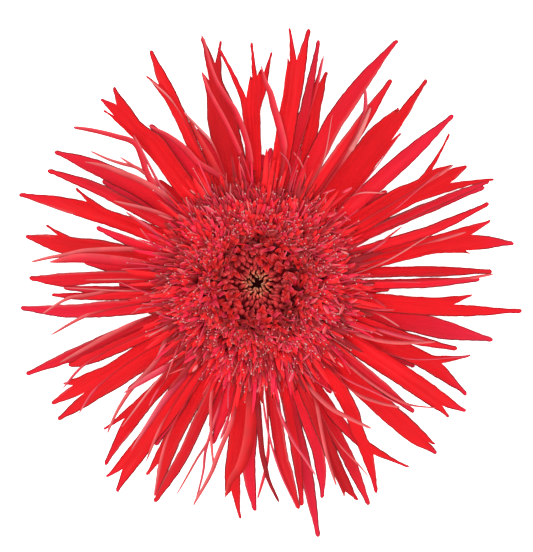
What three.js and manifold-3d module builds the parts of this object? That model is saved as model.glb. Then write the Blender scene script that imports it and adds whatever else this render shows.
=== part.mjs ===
// A spider gerbera: one red bloom, cut with a short stub of its stalk and laid face up.
// Millimetres, +Z up. The flower is built round its own axis, on a surface at z = 0, and the whole
// group is then moved so that its origin is the middle of the base of its box.
// Directions in the face of the flower are degrees, counted anticlockwise from +X as seen from above.

import * as THREE from 'three';
import * as BufferGeometryUtils from 'three/addons/utils/BufferGeometryUtils.js';
import Module from 'manifold-3d';

const wasm = await Module();
wasm.setup();

// Stalk and the receptacle that it widens into
const STALK_RADIUS = 3.4;
const STUB_LENGTH = 10;
const RECEPTACLE_RADIUS = 12;
const RECEPTACLE_RIM = 19.6;
const RECEPTACLE_TOP = 21.2;
const STALK_SIDES = 20;

// Rows of florets. Each row is a ring on the receptacle with its blades fused into it. A blade leaves
// the ring at its height with a slope and then bends down: height = ring + slope * u - bend * u * u,
// with u = 0 at the ring's outside and u = 1 at SPAN_RADIUS. spread is how much the bend varies.
const RING_INSIDE = 8.9;
const RING_OUTSIDE = 12.5;
const RING_DEPTH = 1.4;
const SPAN_RADIUS = 60;
const RING_SIDES = 48;
const ROWS = {
  lower: { ring: 22.2, slope: -6, bend: 13, spread: 3 },
  middle: { ring: 23.9, slope: 1, bend: 11, spread: 5 },
  upper: { ring: 25.6, slope: 5, bend: 6, spread: 3 },
  trans: { ring: 27.4, slope: 7, bend: 5, spread: 2 },
  crown: { ring: 27.4, slope: 15, bend: 8, spread: 4 },
};
const TWIST_SPREAD = 0.3;
const RESTING_REACH = 57;
const LOWEST_HANGING_TIP = 2;

// Blades
const BLADE_DEPTH = 0.82;
const BLADE_ROOT_RADIUS = 10.4;
const CLAW_WIDTH = 1.7;
const FULL_WIDTH_RADIUS = 34;
const SHOULDER_RADIUS = 42;
const ARCH = 0.7;
const LOBE_BULGE = 0.38;
const RAY_STEP = 8;
const STRAP_STEP = 10;

// Short trans florets that stand up round the dome, with the least and the most of each size
const CROWN_FLORETS = 64;
const CROWN_REACH = [27.5, 34.5];
const CROWN_WIDTH = [1.5, 2.3];
const CROWN_TURN = 3;

// Dome of disc florets, with a pit in the middle for the buds
const DOME_STEM_RADIUS = 8.4;
const DOME_RADIUS = 18;
const DOME_TOP = 34.2;
const PIT_RADIUS = 6.7;
const PIT_FLOOR = 29;
const DOME_SIDES = 32;
const DISC_FLORETS = 270;
const GOLDEN_ANGLE = 137.508;

// Buds
const BUD_BASE = 29.3;
const BUD_RING_TOP = 32.2;
const ROUND_BUD_ROWS = [
  { radius: 4.5, count: 14, height: 33.1 },
  { radius: 5.55, count: 18, height: 33.4 },
];
const ROUND_BUD_RADIUS = 0.8;
const BUD_RING_INSIDE = 3.75;
const BUD_RING_OUTSIDE = 6.3;
const POINTED_BUD_BASE = 31.6;
const POINTED_BUD_ROWS = [
  { radius: 1.35, count: 6, height: 33.2 },
  { radius: 2.5, count: 11, height: 33.6 },
];
const POINTED_BUD_RADIUS = 0.62;
const EYE_RADIUS = 0.8;

// Involucre: rows of bracts under the rays
const BRACT_ROWS = [
  { count: 13, root: 11.6, tip: 16.8, reach: 13.4 },
  { count: 15, root: 13.6, tip: 20.2, reach: 16.2 },
];
const BRACT_WIDTH = 3.2;
const BRACT_DEPTH = 0.8;
const RECEPTACLE_GAP = 0.3;

// Ray florets, anticlockwise. root is the direction in which the blade leaves the pompon, body its
// direction at the shoulder, and wide its width there. tips are the lobes' ends and forks the notches
// between them, each a direction and a distance from the axis.
const RAYS = [
  { row: 'upper', root: -0.5, body: -0.4, wide: 3.5, tips: [[1, 52.5]] },
  { row: 'lower', root: 4.5, body: 4, wide: 4, tips: [[2.8, 57.2]] },
  { row: 'middle', root: 11.5, body: 11.3, wide: 4, tips: [[8.8, 62.5], [15, 57.8]], forks: [[12.3, 52]] },
  { row: 'upper', root: 17, body: 17, wide: 3.8, tips: [[19, 58.4]] },
  { row: 'lower', root: 24.5, body: 24.1, wide: 2.8, tips: [[23, 59.7]] },
  {
    row: 'middle', root: 31, body: 30.5, wide: 6.2,
    tips: [[23.7, 62], [29.3, 57.5], [31.4, 54.3], [38, 58.5]], forks: [[28.2, 52], [30.7, 52], [33, 49]],
  },
  { row: 'upper', root: 40, body: 40.3, wide: 3.8, tips: [[40.7, 61.3]] },
  {
    row: 'lower', root: 49, body: 49, wide: 7.3,
    tips: [[46.3, 49.8], [50, 64.1], [51.6, 54.5]], forks: [[46.9, 47], [51, 52.4]],
  },
  { row: 'upper', root: 58.5, body: 57.6, wide: 3.4, tips: [[56.5, 58.2], [59.4, 50.5]], forks: [[58.2, 46]] },
  { row: 'middle', root: 65.5, body: 64.4, wide: 4.7, tips: [[60.1, 67.3]] },
  {
    row: 'lower', root: 72, body: 72.6, wide: 6,
    tips: [[72, 53.7], [73.8, 56.6], [75.8, 60.8]], forks: [[72.9, 50.5], [74.3, 48.4]],
  },
  { row: 'upper', root: 79, body: 79.6, wide: 4.2, tips: [[78.5, 62.4], [82.7, 61.7]], forks: [[80.2, 54.5]] },
  {
    row: 'middle', root: 91.5, body: 91.2, wide: 5.2,
    tips: [[86.1, 55.4], [91.3, 57.6], [99.4, 56.7]], forks: [[88.6, 48], [93.4, 43]],
  },
  {
    row: 'lower', root: 103, body: 102.1, wide: 7,
    tips: [[98.6, 59.3], [102.7, 61], [104.6, 52.2]], forks: [[100.9, 54], [103.7, 50]],
  },
  { row: 'upper', root: 115, body: 115, wide: 3.2, tips: [[114.5, 60.6], [118.1, 55.6]], forks: [[115.9, 49]] },
  {
    row: 'middle', root: 126.5, body: 127, wide: 6.2,
    tips: [[126.5, 58.3], [130.3, 57.8], [139.7, 57]], forks: [[128.2, 54], [130.2, 44.5]],
  },
  { row: 'lower', root: 141.5, body: 142.8, wide: 5, tips: [[147, 58.7]] },
  { row: 'upper', root: 148.5, body: 149.1, wide: 3.4, tips: [[151.8, 56.4]] },
  { row: 'middle', root: 156, body: 156, wide: 4.7, tips: [[152.2, 48.9], [159.5, 60.5]], forks: [[154.6, 45]] },
  { row: 'upper', root: 162, body: 161.5, wide: 2.2, tips: [[160.7, 43]] },
  { row: 'lower', root: 168, body: 168, wide: 5.2, tips: [[164.5, 53], [168.9, 57.3]], forks: [[166.4, 49.5]] },
  { row: 'middle', root: 179, body: 179.2, wide: 4, tips: [[178.5, 54.6], [182, 46.5]], forks: [[180.6, 44.6]] },
  { row: 'upper', root: 184.5, body: 184.6, wide: 2.2, tips: [[183.1, 49.2], [188.3, 51.5]], forks: [[185.2, 41.5]] },
  { row: 'lower', root: 190.4, body: 189.9, wide: 4.8, tips: [[185.9, 57.8], [194.3, 50.6]], forks: [[191, 43.5]] },
  { row: 'middle', root: 199.5, body: 200, wide: 3, tips: [[201.4, 59.2]] },
  { row: 'upper', root: 204.5, body: 204.6, wide: 3.6, tips: [[203.5, 49], [208.3, 53]], forks: [[205.6, 44.5]] },
  { row: 'lower', root: 212.5, body: 212.4, wide: 6, tips: [[210.3, 57.6], [214.3, 58.4]], forks: [[212.3, 49]] },
  { row: 'upper', root: 218, body: 218.6, wide: 3, tips: [[219.6, 43]] },
  { row: 'middle', root: 227, body: 226.4, wide: 3.6, tips: [[223.5, 50.5], [230, 56.5]], forks: [[225.4, 45]] },
  { row: 'upper', root: 235.5, body: 234.9, wide: 5, tips: [[232, 58.7], [236, 60.3]], forks: [[234, 54.5]] },
  { row: 'lower', root: 241.5, body: 242, wide: 4, tips: [[240, 53.2], [244.2, 57.2]], forks: [[241.2, 49.5]] },
  { row: 'middle', root: 247.5, body: 246.5, wide: 3, tips: [[244.8, 57.4]] },
  { row: 'upper', root: 255, body: 254.8, wide: 3.4, tips: [[254.7, 42.5]] },
  { row: 'lower', root: 262, body: 263, wide: 4, tips: [[265.8, 57.2]] },
  { row: 'middle', root: 268, body: 268.2, wide: 3.6, tips: [[269.3, 54.4]] },
  { row: 'upper', root: 278, body: 278.8, wide: 4.2, tips: [[279.7, 54.8], [281.8, 54]], forks: [[280.8, 51.5]] },
  { row: 'lower', root: 285, body: 284.6, wide: 3.3, tips: [[283.5, 62.7]] },
  { row: 'middle', root: 290.5, body: 289.6, wide: 4.2, tips: [[287.3, 54]] },
  { row: 'upper', root: 294, body: 293.6, wide: 3, tips: [[292.3, 54.6], [294.8, 56.7]], forks: [[293.5, 50]] },
  { row: 'lower', root: 297.5, body: 297.2, wide: 2.5, tips: [[296.7, 60.2]] },
  { row: 'middle', root: 306, body: 304, wide: 5.2, tips: [[299.6, 57.8], [309.7, 57.3]], forks: [[304, 48.5]] },
  { row: 'lower', root: 315, body: 315.8, wide: 4.8, tips: [[316.2, 60], [318.4, 58.2]], forks: [[317.3, 55.5]] },
  { row: 'upper', root: 320.5, body: 321.2, wide: 3.4, tips: [[320.7, 48]] },
  { row: 'upper', root: 328, body: 327.4, wide: 3.6, tips: [[325, 55.5], [328.7, 58]], forks: [[326.8, 51.5]] },
  { row: 'middle', root: 334, body: 335, wide: 4.6, tips: [[332, 56.5], [341.3, 53.7]], forks: [[336.7, 47.7]] },
  { row: 'upper', root: 340, body: 340.6, wide: 3, tips: [[342, 50]] },
  { row: 'lower', root: 345, body: 345.5, wide: 5, tips: [[346.5, 59]] },
  { row: 'middle', root: 350.8, body: 352.3, wide: 5, tips: [[353.4, 64], [357, 51.5]], forks: [[354.1, 46.5]] },
];

// Long narrow trans florets that lie over the rays: where each comes out of the pompon, any bend on its
// way, and its tip, each a direction and a distance from the axis, with its width.
const STRAPS = [
  { path: [[8.5, 28], [15.5, 43]], wide: 1 },
  { path: [[61.5, 32], [66, 43.5]], wide: 1 },
  { path: [[79, 32], [88.9, 51.5]], wide: 1.6 },
  { path: [[93.2, 34], [102.7, 60]], wide: 1.8 },
  { path: [[96.8, 31], [104.1, 52]], wide: 1.8 },
  { path: [[108.5, 22], [112.6, 43.6]], wide: 2.2 },
  { path: [[114.5, 27], [125.5, 46.5]], wide: 2 },
  { path: [[137, 27], [129.7, 45.5]], wide: 1.2 },
  { path: [[136, 32], [141.5, 50.3]], wide: 1.3 },
  { path: [[138.5, 30], [144.8, 49.8]], wide: 2 },
  { path: [[143, 26], [150, 39]], wide: 1.2 },
  { path: [[165, 29.5], [174.4, 53.8]], wide: 1.4 },
  { path: [[171.5, 26], [174.4, 49.5]], wide: 2.6 },
  { path: [[197.5, 29], [201.8, 50]], wide: 1.6 },
  { path: [[215, 29], [220, 39], [224.7, 49.6]], wide: 1.1 },
  { path: [[224.5, 31], [226.4, 46.5]], wide: 1 },
  { path: [[234.5, 30], [232.3, 48]], wide: 2 },
  { path: [[246.5, 26], [251, 36], [257, 45.5]], wide: 1.1 },
  { path: [[252.8, 32], [249.2, 53.5]], wide: 1.1 },
  { path: [[253.8, 30], [254, 54.7]], wide: 1.1 },
  { path: [[260.5, 31], [257, 44], [254.6, 53.5]], wide: 1.7 },
  { path: [[269.5, 27], [261.6, 52.5]], wide: 3.4 },
  { path: [[271.5, 28], [272.6, 42], [275.7, 52.2]], wide: 2.3 },
  { path: [[280, 30], [287, 47.5]], wide: 1.1 },
  { path: [[296.5, 32], [291.3, 52]], wide: 1.2 },
  { path: [[297.5, 27], [308.3, 43.8]], wide: 1.2 },
  { path: [[318.5, 28], [320.5, 42], [325.3, 51]], wide: 1.1 },
  { path: [[332.5, 26], [342.3, 44.8]], wide: 1.5 },
];

// Colours
const SCARLET = { color: 0xed1c24, roughness: 0.55, metalness: 0 };
const CRIMSON = { color: 0xd8263c, roughness: 0.55, metalness: 0 };
const DEEP_RED = { color: 0xc02433, roughness: 0.6, metalness: 0 };
const BUD_RED = { color: 0x8a3a38, roughness: 0.6, metalness: 0 };
const CORAL = { color: 0xe07a62, roughness: 0.6, metalness: 0 };
const STALK_GREEN = { color: 0x7f9a4e, roughness: 0.7, metalness: 0 };
const BRACT_GREEN = { color: 0x5f7d3c, roughness: 0.75, metalness: 0 };

// Small helpers

function seeded(seed) {
  let state = seed;
  return () => {
    state = (state + 0x6d2b79f5) | 0;
    let mixed = Math.imul(state ^ (state >>> 15), 1 | state);
    mixed = (mixed + Math.imul(mixed ^ (mixed >>> 7), 61 | mixed)) ^ mixed;
    return ((mixed ^ (mixed >>> 14)) >>> 0) / 4294967296;
  };
}

const { lerp, clamp, smoothstep, degToRad, radToDeg } = THREE.MathUtils;

function polar(radius, direction, height) {
  const angle = degToRad(direction);
  return new THREE.Vector3(radius * Math.cos(angle), radius * Math.sin(angle), height);
}

// Solids

function geometryOf(points, faces) {
  const geometry = new THREE.BufferGeometry();
  const position = points.flatMap((point) => [point.x, point.y, point.z]);
  geometry.setAttribute('position', new THREE.Float32BufferAttribute(position, 3));
  geometry.setIndex(faces.flat());
  return geometry;
}

function solidOf(geometry) {
  const bare = geometry.clone();
  bare.deleteAttribute('normal');
  bare.deleteAttribute('uv');
  const merged = BufferGeometryUtils.mergeVertices(bare, 1e-4);
  const index = merged.index.array;
  const corners = [];
  for (let i = 0; i < index.length; i += 3) {
    const [a, b, c] = index.slice(i, i + 3);
    if (a !== b && b !== c && c !== a) corners.push(a, b, c);
  }
  return new wasm.Manifold(new wasm.Mesh({
    numProp: 3,
    vertProperties: new Float32Array(merged.attributes.position.array),
    triVerts: new Uint32Array(corners),
  }));
}

function fuse(solids) {
  return solids.reduce((whole, solid) => whole.add(solid));
}

function meshOf(name, solid, material) {
  const { vertProperties, triVerts } = solid.getMesh();
  const geometry = new THREE.BufferGeometry();
  geometry.setAttribute('position', new THREE.Float32BufferAttribute(vertProperties, 3));
  geometry.setIndex(new THREE.Uint32BufferAttribute(triVerts, 1));
  geometry.computeVertexNormals();
  const mesh = new THREE.Mesh(geometry, new THREE.MeshStandardMaterial(material));
  mesh.name = name;
  return mesh;
}

// A body of revolution about Z from a profile of [radius, height] pairs, listed with the solid on its left
function turned(profile, sides) {
  const points = profile.map(([radius, height]) => new THREE.Vector2(radius, height));
  const geometry = new THREE.LatheGeometry(points, sides);
  geometry.rotateX(Math.PI / 2);
  return geometry;
}

function ringSolid(height) {
  const low = height - RING_DEPTH / 2;
  const high = height + RING_DEPTH / 2;
  const profile = [[RING_INSIDE, low], [RING_OUTSIDE, low], [RING_OUTSIDE, high], [RING_INSIDE, high]];
  return solidOf(turned([...profile, profile[0]], RING_SIDES));
}

// Closes a face of points and triangles into a plate of even depth, with the same triangles below
function plateGeometry(points, faces, depth) {
  const count = points.length;
  const above = points.map((point) => new THREE.Vector3(point.x, point.y, point.z + depth / 2));
  const below = points.map((point) => new THREE.Vector3(point.x, point.y, point.z - depth / 2));
  const directed = new Set(faces.flatMap(([a, b, c]) => [`${a} ${b}`, `${b} ${c}`, `${c} ${a}`]));
  const walls = [];
  for (const [a, b, c] of faces) {
    for (const [from, to] of [[a, b], [b, c], [c, a]]) {
      if (directed.has(`${to} ${from}`)) continue;
      walls.push([from, from + count, to + count], [from, to + count, to]);
    }
  }
  const underside = faces.map(([a, b, c]) => [c + count, b + count, a + count]);
  return geometryOf([...above, ...below], [...faces, ...underside, ...walls]);
}

// Blades

// Direction of a blade's middle at a distance from the axis, straight on from point to point of its path
function directionAlong(path, radius) {
  if (radius <= path[0][1]) return path[0][0];
  for (let i = 1; i < path.length; i += 1) {
    const [fromDirection, fromRadius] = path[i - 1];
    const [toDirection, toRadius] = path[i];
    if (radius <= toRadius) {
      return lerp(fromDirection, toDirection, (radius - fromRadius) / (toRadius - fromRadius));
    }
  }
  return path.at(-1)[0];
}

// The outline of a blade: the directions of each lobe's two edges at any distance from the axis
class Outline {
  constructor({ path, wide, tips, forks = [], shoulder }) {
    Object.assign(this, { path, wide, tips, forks });
    this.shoulder = Math.min(shoulder, ...forks.map(([, radius]) => radius - 1));
    this.reach = Math.max(...tips.map(([, radius]) => radius));
  }

  halfAngle(radius) {
    const full = smoothstep(radius, RING_OUTSIDE, FULL_WIDTH_RADIUS);
    return radToDeg(lerp(CLAW_WIDTH, this.wide, full) / 2 / radius);
  }

  bodyEdge(radius, side) {
    return directionAlong(this.path, radius) + side * this.halfAngle(radius);
  }

  // An edge from the point where it starts to the lobe's tip, bulging to its own side
  lobeEdge(radius, start, tip, side, span) {
    const along = clamp((radius - start[1]) / (tip[1] - start[1]), 0, 1);
    return lerp(start[0], tip[0], along) + side * LOBE_BULGE * span * along * (1 - along);
  }

  // Where the edges of a lobe start: at the blade's shoulder or at a fork
  lobeStart(lobe, side) {
    const fork = side < 0 ? this.forks[lobe - 1] : this.forks[lobe];
    return fork ?? [this.bodyEdge(this.shoulder, side), this.shoulder];
  }

  edge(lobe, side, radius) {
    const start = this.lobeStart(lobe, side);
    const isOuter = side < 0 ? lobe === 0 : lobe === this.tips.length - 1;
    if (radius < start[1] && isOuter) return this.bodyEdge(radius, side);
    if (radius < start[1]) return this.seam(side < 0 ? lobe : lobe + 1, radius);
    const span = this.lobeStart(lobe, 1)[0] - this.lobeStart(lobe, -1)[0];
    return this.lobeEdge(radius, start, this.tips[lobe], side, span);
  }

  // The line inside the body that leads to a fork
  seam(number, radius) {
    const [forkDirection, forkRadius] = this.forks[number - 1];
    const last = this.tips.length - 1;
    const share = (at, direction) => {
      const from = this.edge(0, -1, at);
      return (direction - from) / (this.edge(last, 1, at) - from);
    };
    const along = clamp((radius - BLADE_ROOT_RADIUS) / (forkRadius - BLADE_ROOT_RADIUS), 0, 1);
    const part = lerp(number / this.tips.length, share(forkRadius, forkDirection), along);
    return lerp(this.edge(0, -1, radius), this.edge(last, 1, radius), part);
  }
}

// Height of a blade's middle: out of its ring and down to its tip
function bladeHeight(row, bend, radius) {
  const u = (radius - RING_OUTSIDE) / (SPAN_RADIUS - RING_OUTSIDE);
  return u <= 0 ? row.ring : row.ring + row.slope * u - bend * u * u;
}

// How much a blade bends down. The long blades of the lowest row reach the surface, the rest hang above it.
function bladeBend(row, outline, spread) {
  const u = (outline.reach - RING_OUTSIDE) / (SPAN_RADIUS - RING_OUTSIDE);
  const bendTo = (height) => (row.ring + row.slope * u - height) / (u * u);
  if (row === ROWS.lower && outline.reach >= RESTING_REACH) return bendTo(BLADE_DEPTH / 2);
  return Math.min(row.bend + row.spread * spread, bendTo(LOWEST_HANGING_TIP));
}

// A forked blade: a strip for the body, which splits at each fork and ends in a point at each tip
function bladeSolid(row, outline, step, random) {
  const cells = outline.tips.length === 1 && outline.wide > 2.4 ? 2 : 1;
  const bend = bladeBend(row, outline, random() * 2 - 1);
  const twist = TWIST_SPREAD * (random() * 2 - 1);
  const points = [];
  const faces = [];

  const addPoint = (radius, direction) => {
    const aside = degToRad(direction - directionAlong(outline.path, radius)) * radius;
    const across = clamp(aside / (outline.wide / 2), -1.3, 1.3);
    const body = smoothstep(radius, RING_OUTSIDE, FULL_WIDTH_RADIUS);
    const faded = body * (1 - smoothstep(radius, outline.shoulder, outline.reach));
    const lift = faded * (twist * aside - ARCH * across * across);
    points.push(polar(radius, direction, bladeHeight(row, bend, radius) + lift));
    return points.length - 1;
  };

  const addRow = (first, last, radius) => {
    const line = [];
    for (let lobe = first; lobe <= last; lobe += 1) {
      const from = outline.edge(lobe, -1, radius);
      const to = outline.edge(lobe, 1, radius);
      for (let cell = lobe === first ? 0 : 1; cell <= cells; cell += 1) {
        line.push(addPoint(radius, lerp(from, to, cell / cells)));
      }
    }
    return line;
  };

  const joinRows = (near, far) => {
    for (let i = 1; i < near.length; i += 1) {
      faces.push([near[i - 1], far[i - 1], far[i]], [near[i - 1], far[i], near[i]]);
    }
  };

  const growStrip = (first, last, start, from, to) => {
    const count = Math.max(1, Math.round((to - from) / step));
    let near = start;
    for (let i = 1; i <= count; i += 1) {
      const far = addRow(first, last, lerp(from, to, i / count));
      joinRows(near, far);
      near = far;
    }
    return near;
  };

  const growLobe = (lobe, start, from) => {
    const [tipDirection, tipRadius] = outline.tips[lobe];
    const near = growStrip(lobe, lobe, start, from, lerp(from, tipRadius, 0.7));
    const tip = addPoint(tipRadius, tipDirection);
    for (let i = 1; i < near.length; i += 1) faces.push([near[i - 1], tip, near[i]]);
  };

  const grow = (first, last, start, from) => {
    if (first === last) {
      growLobe(first, start, from);
      return;
    }
    const forks = outline.forks.slice(first, last);
    const nearest = Math.min(...forks.map(([, radius]) => radius));
    const split = first + forks.findIndex(([, radius]) => radius === nearest);
    const far = growStrip(first, last, start, from, nearest);
    const cut = (split - first + 1) * cells;
    grow(first, split, far.slice(0, cut + 1), nearest);
    grow(split + 1, last, far.slice(cut), nearest);
  };

  const root = addRow(0, outline.tips.length - 1, BLADE_ROOT_RADIUS);
  grow(0, outline.tips.length - 1, root, BLADE_ROOT_RADIUS);
  return solidOf(plateGeometry(points, faces, BLADE_DEPTH));
}

function rayRow(name) {
  const random = seeded(name.length * 101);
  const row = ROWS[name];
  const blades = RAYS.filter((ray) => ray.row === name).map((ray) => {
    const path = [[ray.root, 26], [ray.body, SHOULDER_RADIUS]];
    if (ray.tips.length === 1) path.push(ray.tips[0]);
    const shoulder = Math.min(SHOULDER_RADIUS, ray.tips[0][1] * 0.75);
    return bladeSolid(row, new Outline({ ...ray, path, shoulder }), RAY_STEP, random);
  });
  return meshOf(`ray_florets_${name}`, fuse([ringSolid(row.ring), ...blades]), SCARLET);
}

function transFlorets() {
  const random = seeded(7);
  const straps = STRAPS.map(({ path, wide }) => {
    const shoulder = lerp(path[0][1], path.at(-1)[1], 0.55);
    const outline = new Outline({ path, wide, tips: [path.at(-1)], shoulder });
    return bladeSolid(ROWS.trans, outline, STRAP_STEP, random);
  });
  const crown = [];
  for (let i = 0; i < CROWN_FLORETS; i += 1) {
    const direction = ((i + 0.5 * random()) * 360) / CROWN_FLORETS;
    const reach = lerp(...CROWN_REACH, random());
    const path = [[direction, 20], [direction + CROWN_TURN * (2 * random() - 1), reach]];
    const wide = lerp(...CROWN_WIDTH, random());
    const outline = new Outline({ path, wide, tips: [path[1]], shoulder: 25 });
    crown.push(bladeSolid(ROWS.crown, outline, STRAP_STEP, random));
  }
  return meshOf('trans_florets', fuse([ringSolid(ROWS.trans.ring), ...straps, ...crown]), CRIMSON);
}

// Disc florets: three-sided needles that stand out of a dome

const DOME_PROFILE = [
  [0, RECEPTACLE_TOP + 0.4],
  [DOME_STEM_RADIUS, RECEPTACLE_TOP + 0.4],
  [DOME_STEM_RADIUS, 28.8],
  [DOME_RADIUS, 31.2],
  [DOME_RADIUS + 0.6, 32.2],
  [15.5, 33.7],
  [12, DOME_TOP],
  [PIT_RADIUS, 32.8],
  [PIT_RADIUS, PIT_FLOOR],
  [0, PIT_FLOOR],
];

function needle(foot, tip, thickness) {
  const along = new THREE.Vector3().subVectors(tip, foot).normalize();
  const side = new THREE.Vector3(0, 0, 1).cross(along);
  if (side.length() < 0.01) side.set(1, 0, 0);
  side.normalize();
  const other = new THREE.Vector3().crossVectors(along, side);
  const base = [0, 120, 240].map((turn) => {
    const angle = degToRad(turn);
    return foot.clone().addScaledVector(side, thickness * Math.cos(angle))
      .addScaledVector(other, thickness * Math.sin(angle));
  });
  return solidOf(geometryOf([...base, tip], [[0, 2, 1], [0, 1, 3], [1, 2, 3], [2, 0, 3]]));
}

// Height of the dome's skin between the pit and the rim
function domeHeight(radius) {
  const skin = DOME_PROFILE.slice(4, 8);
  for (let i = 1; i < skin.length; i += 1) {
    const [outer, outerHeight] = skin[i - 1];
    const [inner, innerHeight] = skin[i];
    if (radius >= inner) return lerp(innerHeight, outerHeight, (radius - inner) / (outer - inner));
  }
  return skin.at(-1)[1];
}

function discFlorets() {
  const random = seeded(11);
  const solids = [solidOf(turned(DOME_PROFILE, DOME_SIDES))];
  for (let i = 0; i < DISC_FLORETS; i += 1) {
    const share = (i + 0.5) / DISC_FLORETS;
    const radius = Math.sqrt(lerp(7.6 ** 2, (DOME_RADIUS - 0.2) ** 2, share));
    const direction = i * GOLDEN_ANGLE;
    const out = (radius - PIT_RADIUS) / (DOME_RADIUS - PIT_RADIUS);
    const length = lerp(2.2, 7.5, out ** 0.8) + random();
    const lean = degToRad(lerp(4, 62, out ** 1.3) + 10 * (random() - 0.5));
    const foot = polar(radius - 0.9 * Math.sin(lean), direction, domeHeight(radius) - 0.9);
    const aside = 5 * (random() - 0.5);
    const tipRadius = radius + length * Math.sin(lean);
    const tip = polar(tipRadius, direction + aside, domeHeight(radius) + length * Math.cos(lean));
    solids.push(needle(foot, tip, lerp(0.85, 0.62, out)));
  }
  return meshOf('disc_florets', fuse(solids), DEEP_RED);
}

// Buds

function budRing(inside, outside, height) {
  const profile = [[inside, BUD_BASE], [outside, BUD_BASE], [outside, height], [inside, height]];
  return solidOf(turned([...profile, profile[0]], DOME_SIDES));
}

function discBuds() {
  const solids = [budRing(BUD_RING_INSIDE, BUD_RING_OUTSIDE, BUD_RING_TOP)];
  ROUND_BUD_ROWS.forEach(({ radius, count, height }, row) => {
    for (let i = 0; i < count; i += 1) {
      const bud = new THREE.OctahedronGeometry(ROUND_BUD_RADIUS, 0);
      bud.rotateX(Math.PI / 2);
      bud.rotateZ(i);
      const place = polar(radius, ((i + 0.5 * row) * 360) / count, height - ROUND_BUD_RADIUS);
      bud.translate(place.x, place.y, place.z);
      solids.push(solidOf(bud));
    }
  });
  return meshOf('disc_buds', fuse(solids), BUD_RED);
}

function centreBuds() {
  const solids = [budRing(EYE_RADIUS, BUD_RING_INSIDE - 0.3, POINTED_BUD_BASE)];
  POINTED_BUD_ROWS.forEach(({ radius, count, height }, row) => {
    for (let i = 0; i < count; i += 1) {
      const direction = ((i + 0.5 * row) * 360) / count;
      const foot = polar(radius, direction, POINTED_BUD_BASE - 0.3);
      const tip = polar(radius - 0.35, direction, height);
      solids.push(needle(foot, tip, POINTED_BUD_RADIUS));
    }
  });
  return meshOf('centre_buds', fuse(solids), CORAL);
}

// Stalk with receptacle

const STALK_PROFILE = [
  [0, 0],
  [STALK_RADIUS, 0],
  [STALK_RADIUS, STUB_LENGTH],
  [STALK_RADIUS + 1.6, STUB_LENGTH + 2.6],
  [RECEPTACLE_RADIUS - 2.6, RECEPTACLE_RIM - 3.6],
  [RECEPTACLE_RADIUS, RECEPTACLE_RIM],
  [RECEPTACLE_RADIUS - 0.6, RECEPTACLE_TOP],
  [0, RECEPTACLE_TOP],
];

function stem() {
  return meshOf('stem', solidOf(turned(STALK_PROFILE, STALK_SIDES)), STALK_GREEN);
}

// Involucre: a cup of green tissue round the receptacle with bracts standing out of it

function bractSolid(direction, { root, tip, reach }) {
  const points = [];
  const faces = [];
  const stations = [[0, 0.8], [0.55, 1]];
  const rows = stations.map(([along, width]) => [-1, 0, 1].map((side) => {
    const radius = lerp(STALK_RADIUS + 3, reach, along ** 0.8);
    const half = radToDeg((BRACT_WIDTH * width) / 2 / radius);
    const height = lerp(root, tip, along ** 1.3) + 0.5 * Math.abs(side);
    points.push(polar(radius, direction + side * half, height));
    return points.length - 1;
  }));
  points.push(polar(reach, direction, tip));
  const end = points.length - 1;
  rows.slice(1).forEach((far, i) => {
    const near = rows[i];
    for (let j = 1; j < near.length; j += 1) {
      faces.push([near[j - 1], far[j - 1], far[j]], [near[j - 1], far[j], near[j]]);
    }
  });
  const last = rows.at(-1);
  faces.push([last[0], end, last[1]], [last[1], end, last[2]]);
  return solidOf(plateGeometry(points, faces, BRACT_DEPTH));
}

function involucre() {
  const inner = STALK_PROFILE.map(([radius, height]) => [radius + (radius > 0 ? RECEPTACLE_GAP : 0), height]);
  const room = solidOf(turned(inner.map(([radius, height]) => [radius, height - 0.1]), STALK_SIDES));
  const cup = solidOf(turned([
    [0, STUB_LENGTH + 0.6],
    [STALK_RADIUS + 1.9, STUB_LENGTH + 0.6],
    [STALK_RADIUS + 3.6, STUB_LENGTH + 2.6],
    [RECEPTACLE_RADIUS - 1.2, RECEPTACLE_RIM - 3.6],
    [RECEPTACLE_RADIUS + 0.9, RECEPTACLE_RIM - 0.6],
    [0, RECEPTACLE_RIM - 0.6],
  ], STALK_SIDES));
  const bracts = BRACT_ROWS.flatMap((row, number) => {
    return Array.from({ length: row.count }, (_, i) => bractSolid(((i + 0.5 * number) * 360) / row.count, row));
  });
  return meshOf('involucre', fuse([cup, ...bracts]).subtract(room), BRACT_GREEN);
}

// The whole flower

const flower = new THREE.Group();
flower.add(
  stem(),
  involucre(),
  rayRow('lower'),
  rayRow('middle'),
  rayRow('upper'),
  transFlorets(),
  discFlorets(),
  discBuds(),
  centreBuds(),
);

const box = new THREE.Box3().setFromObject(flower);
const middle = box.getCenter(new THREE.Vector3());
flower.position.set(-middle.x, -middle.y, -box.min.z);
flower.updateMatrixWorld(true);

export default flower;
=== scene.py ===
# A red spider gerbera, cut with a short stub of its stalk and laid face up, seen from straight above.
# The bloom is built in millimetres round its own axis, which is the stalk's, on a surface at z = 0. Each
# piece is put in its place as its mesh is made. Directions in the face of the flower are degrees,
# anticlockwise from +X as seen from above, and a place in it is (direction, distance from the axis).

import math
from collections import namedtuple

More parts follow.
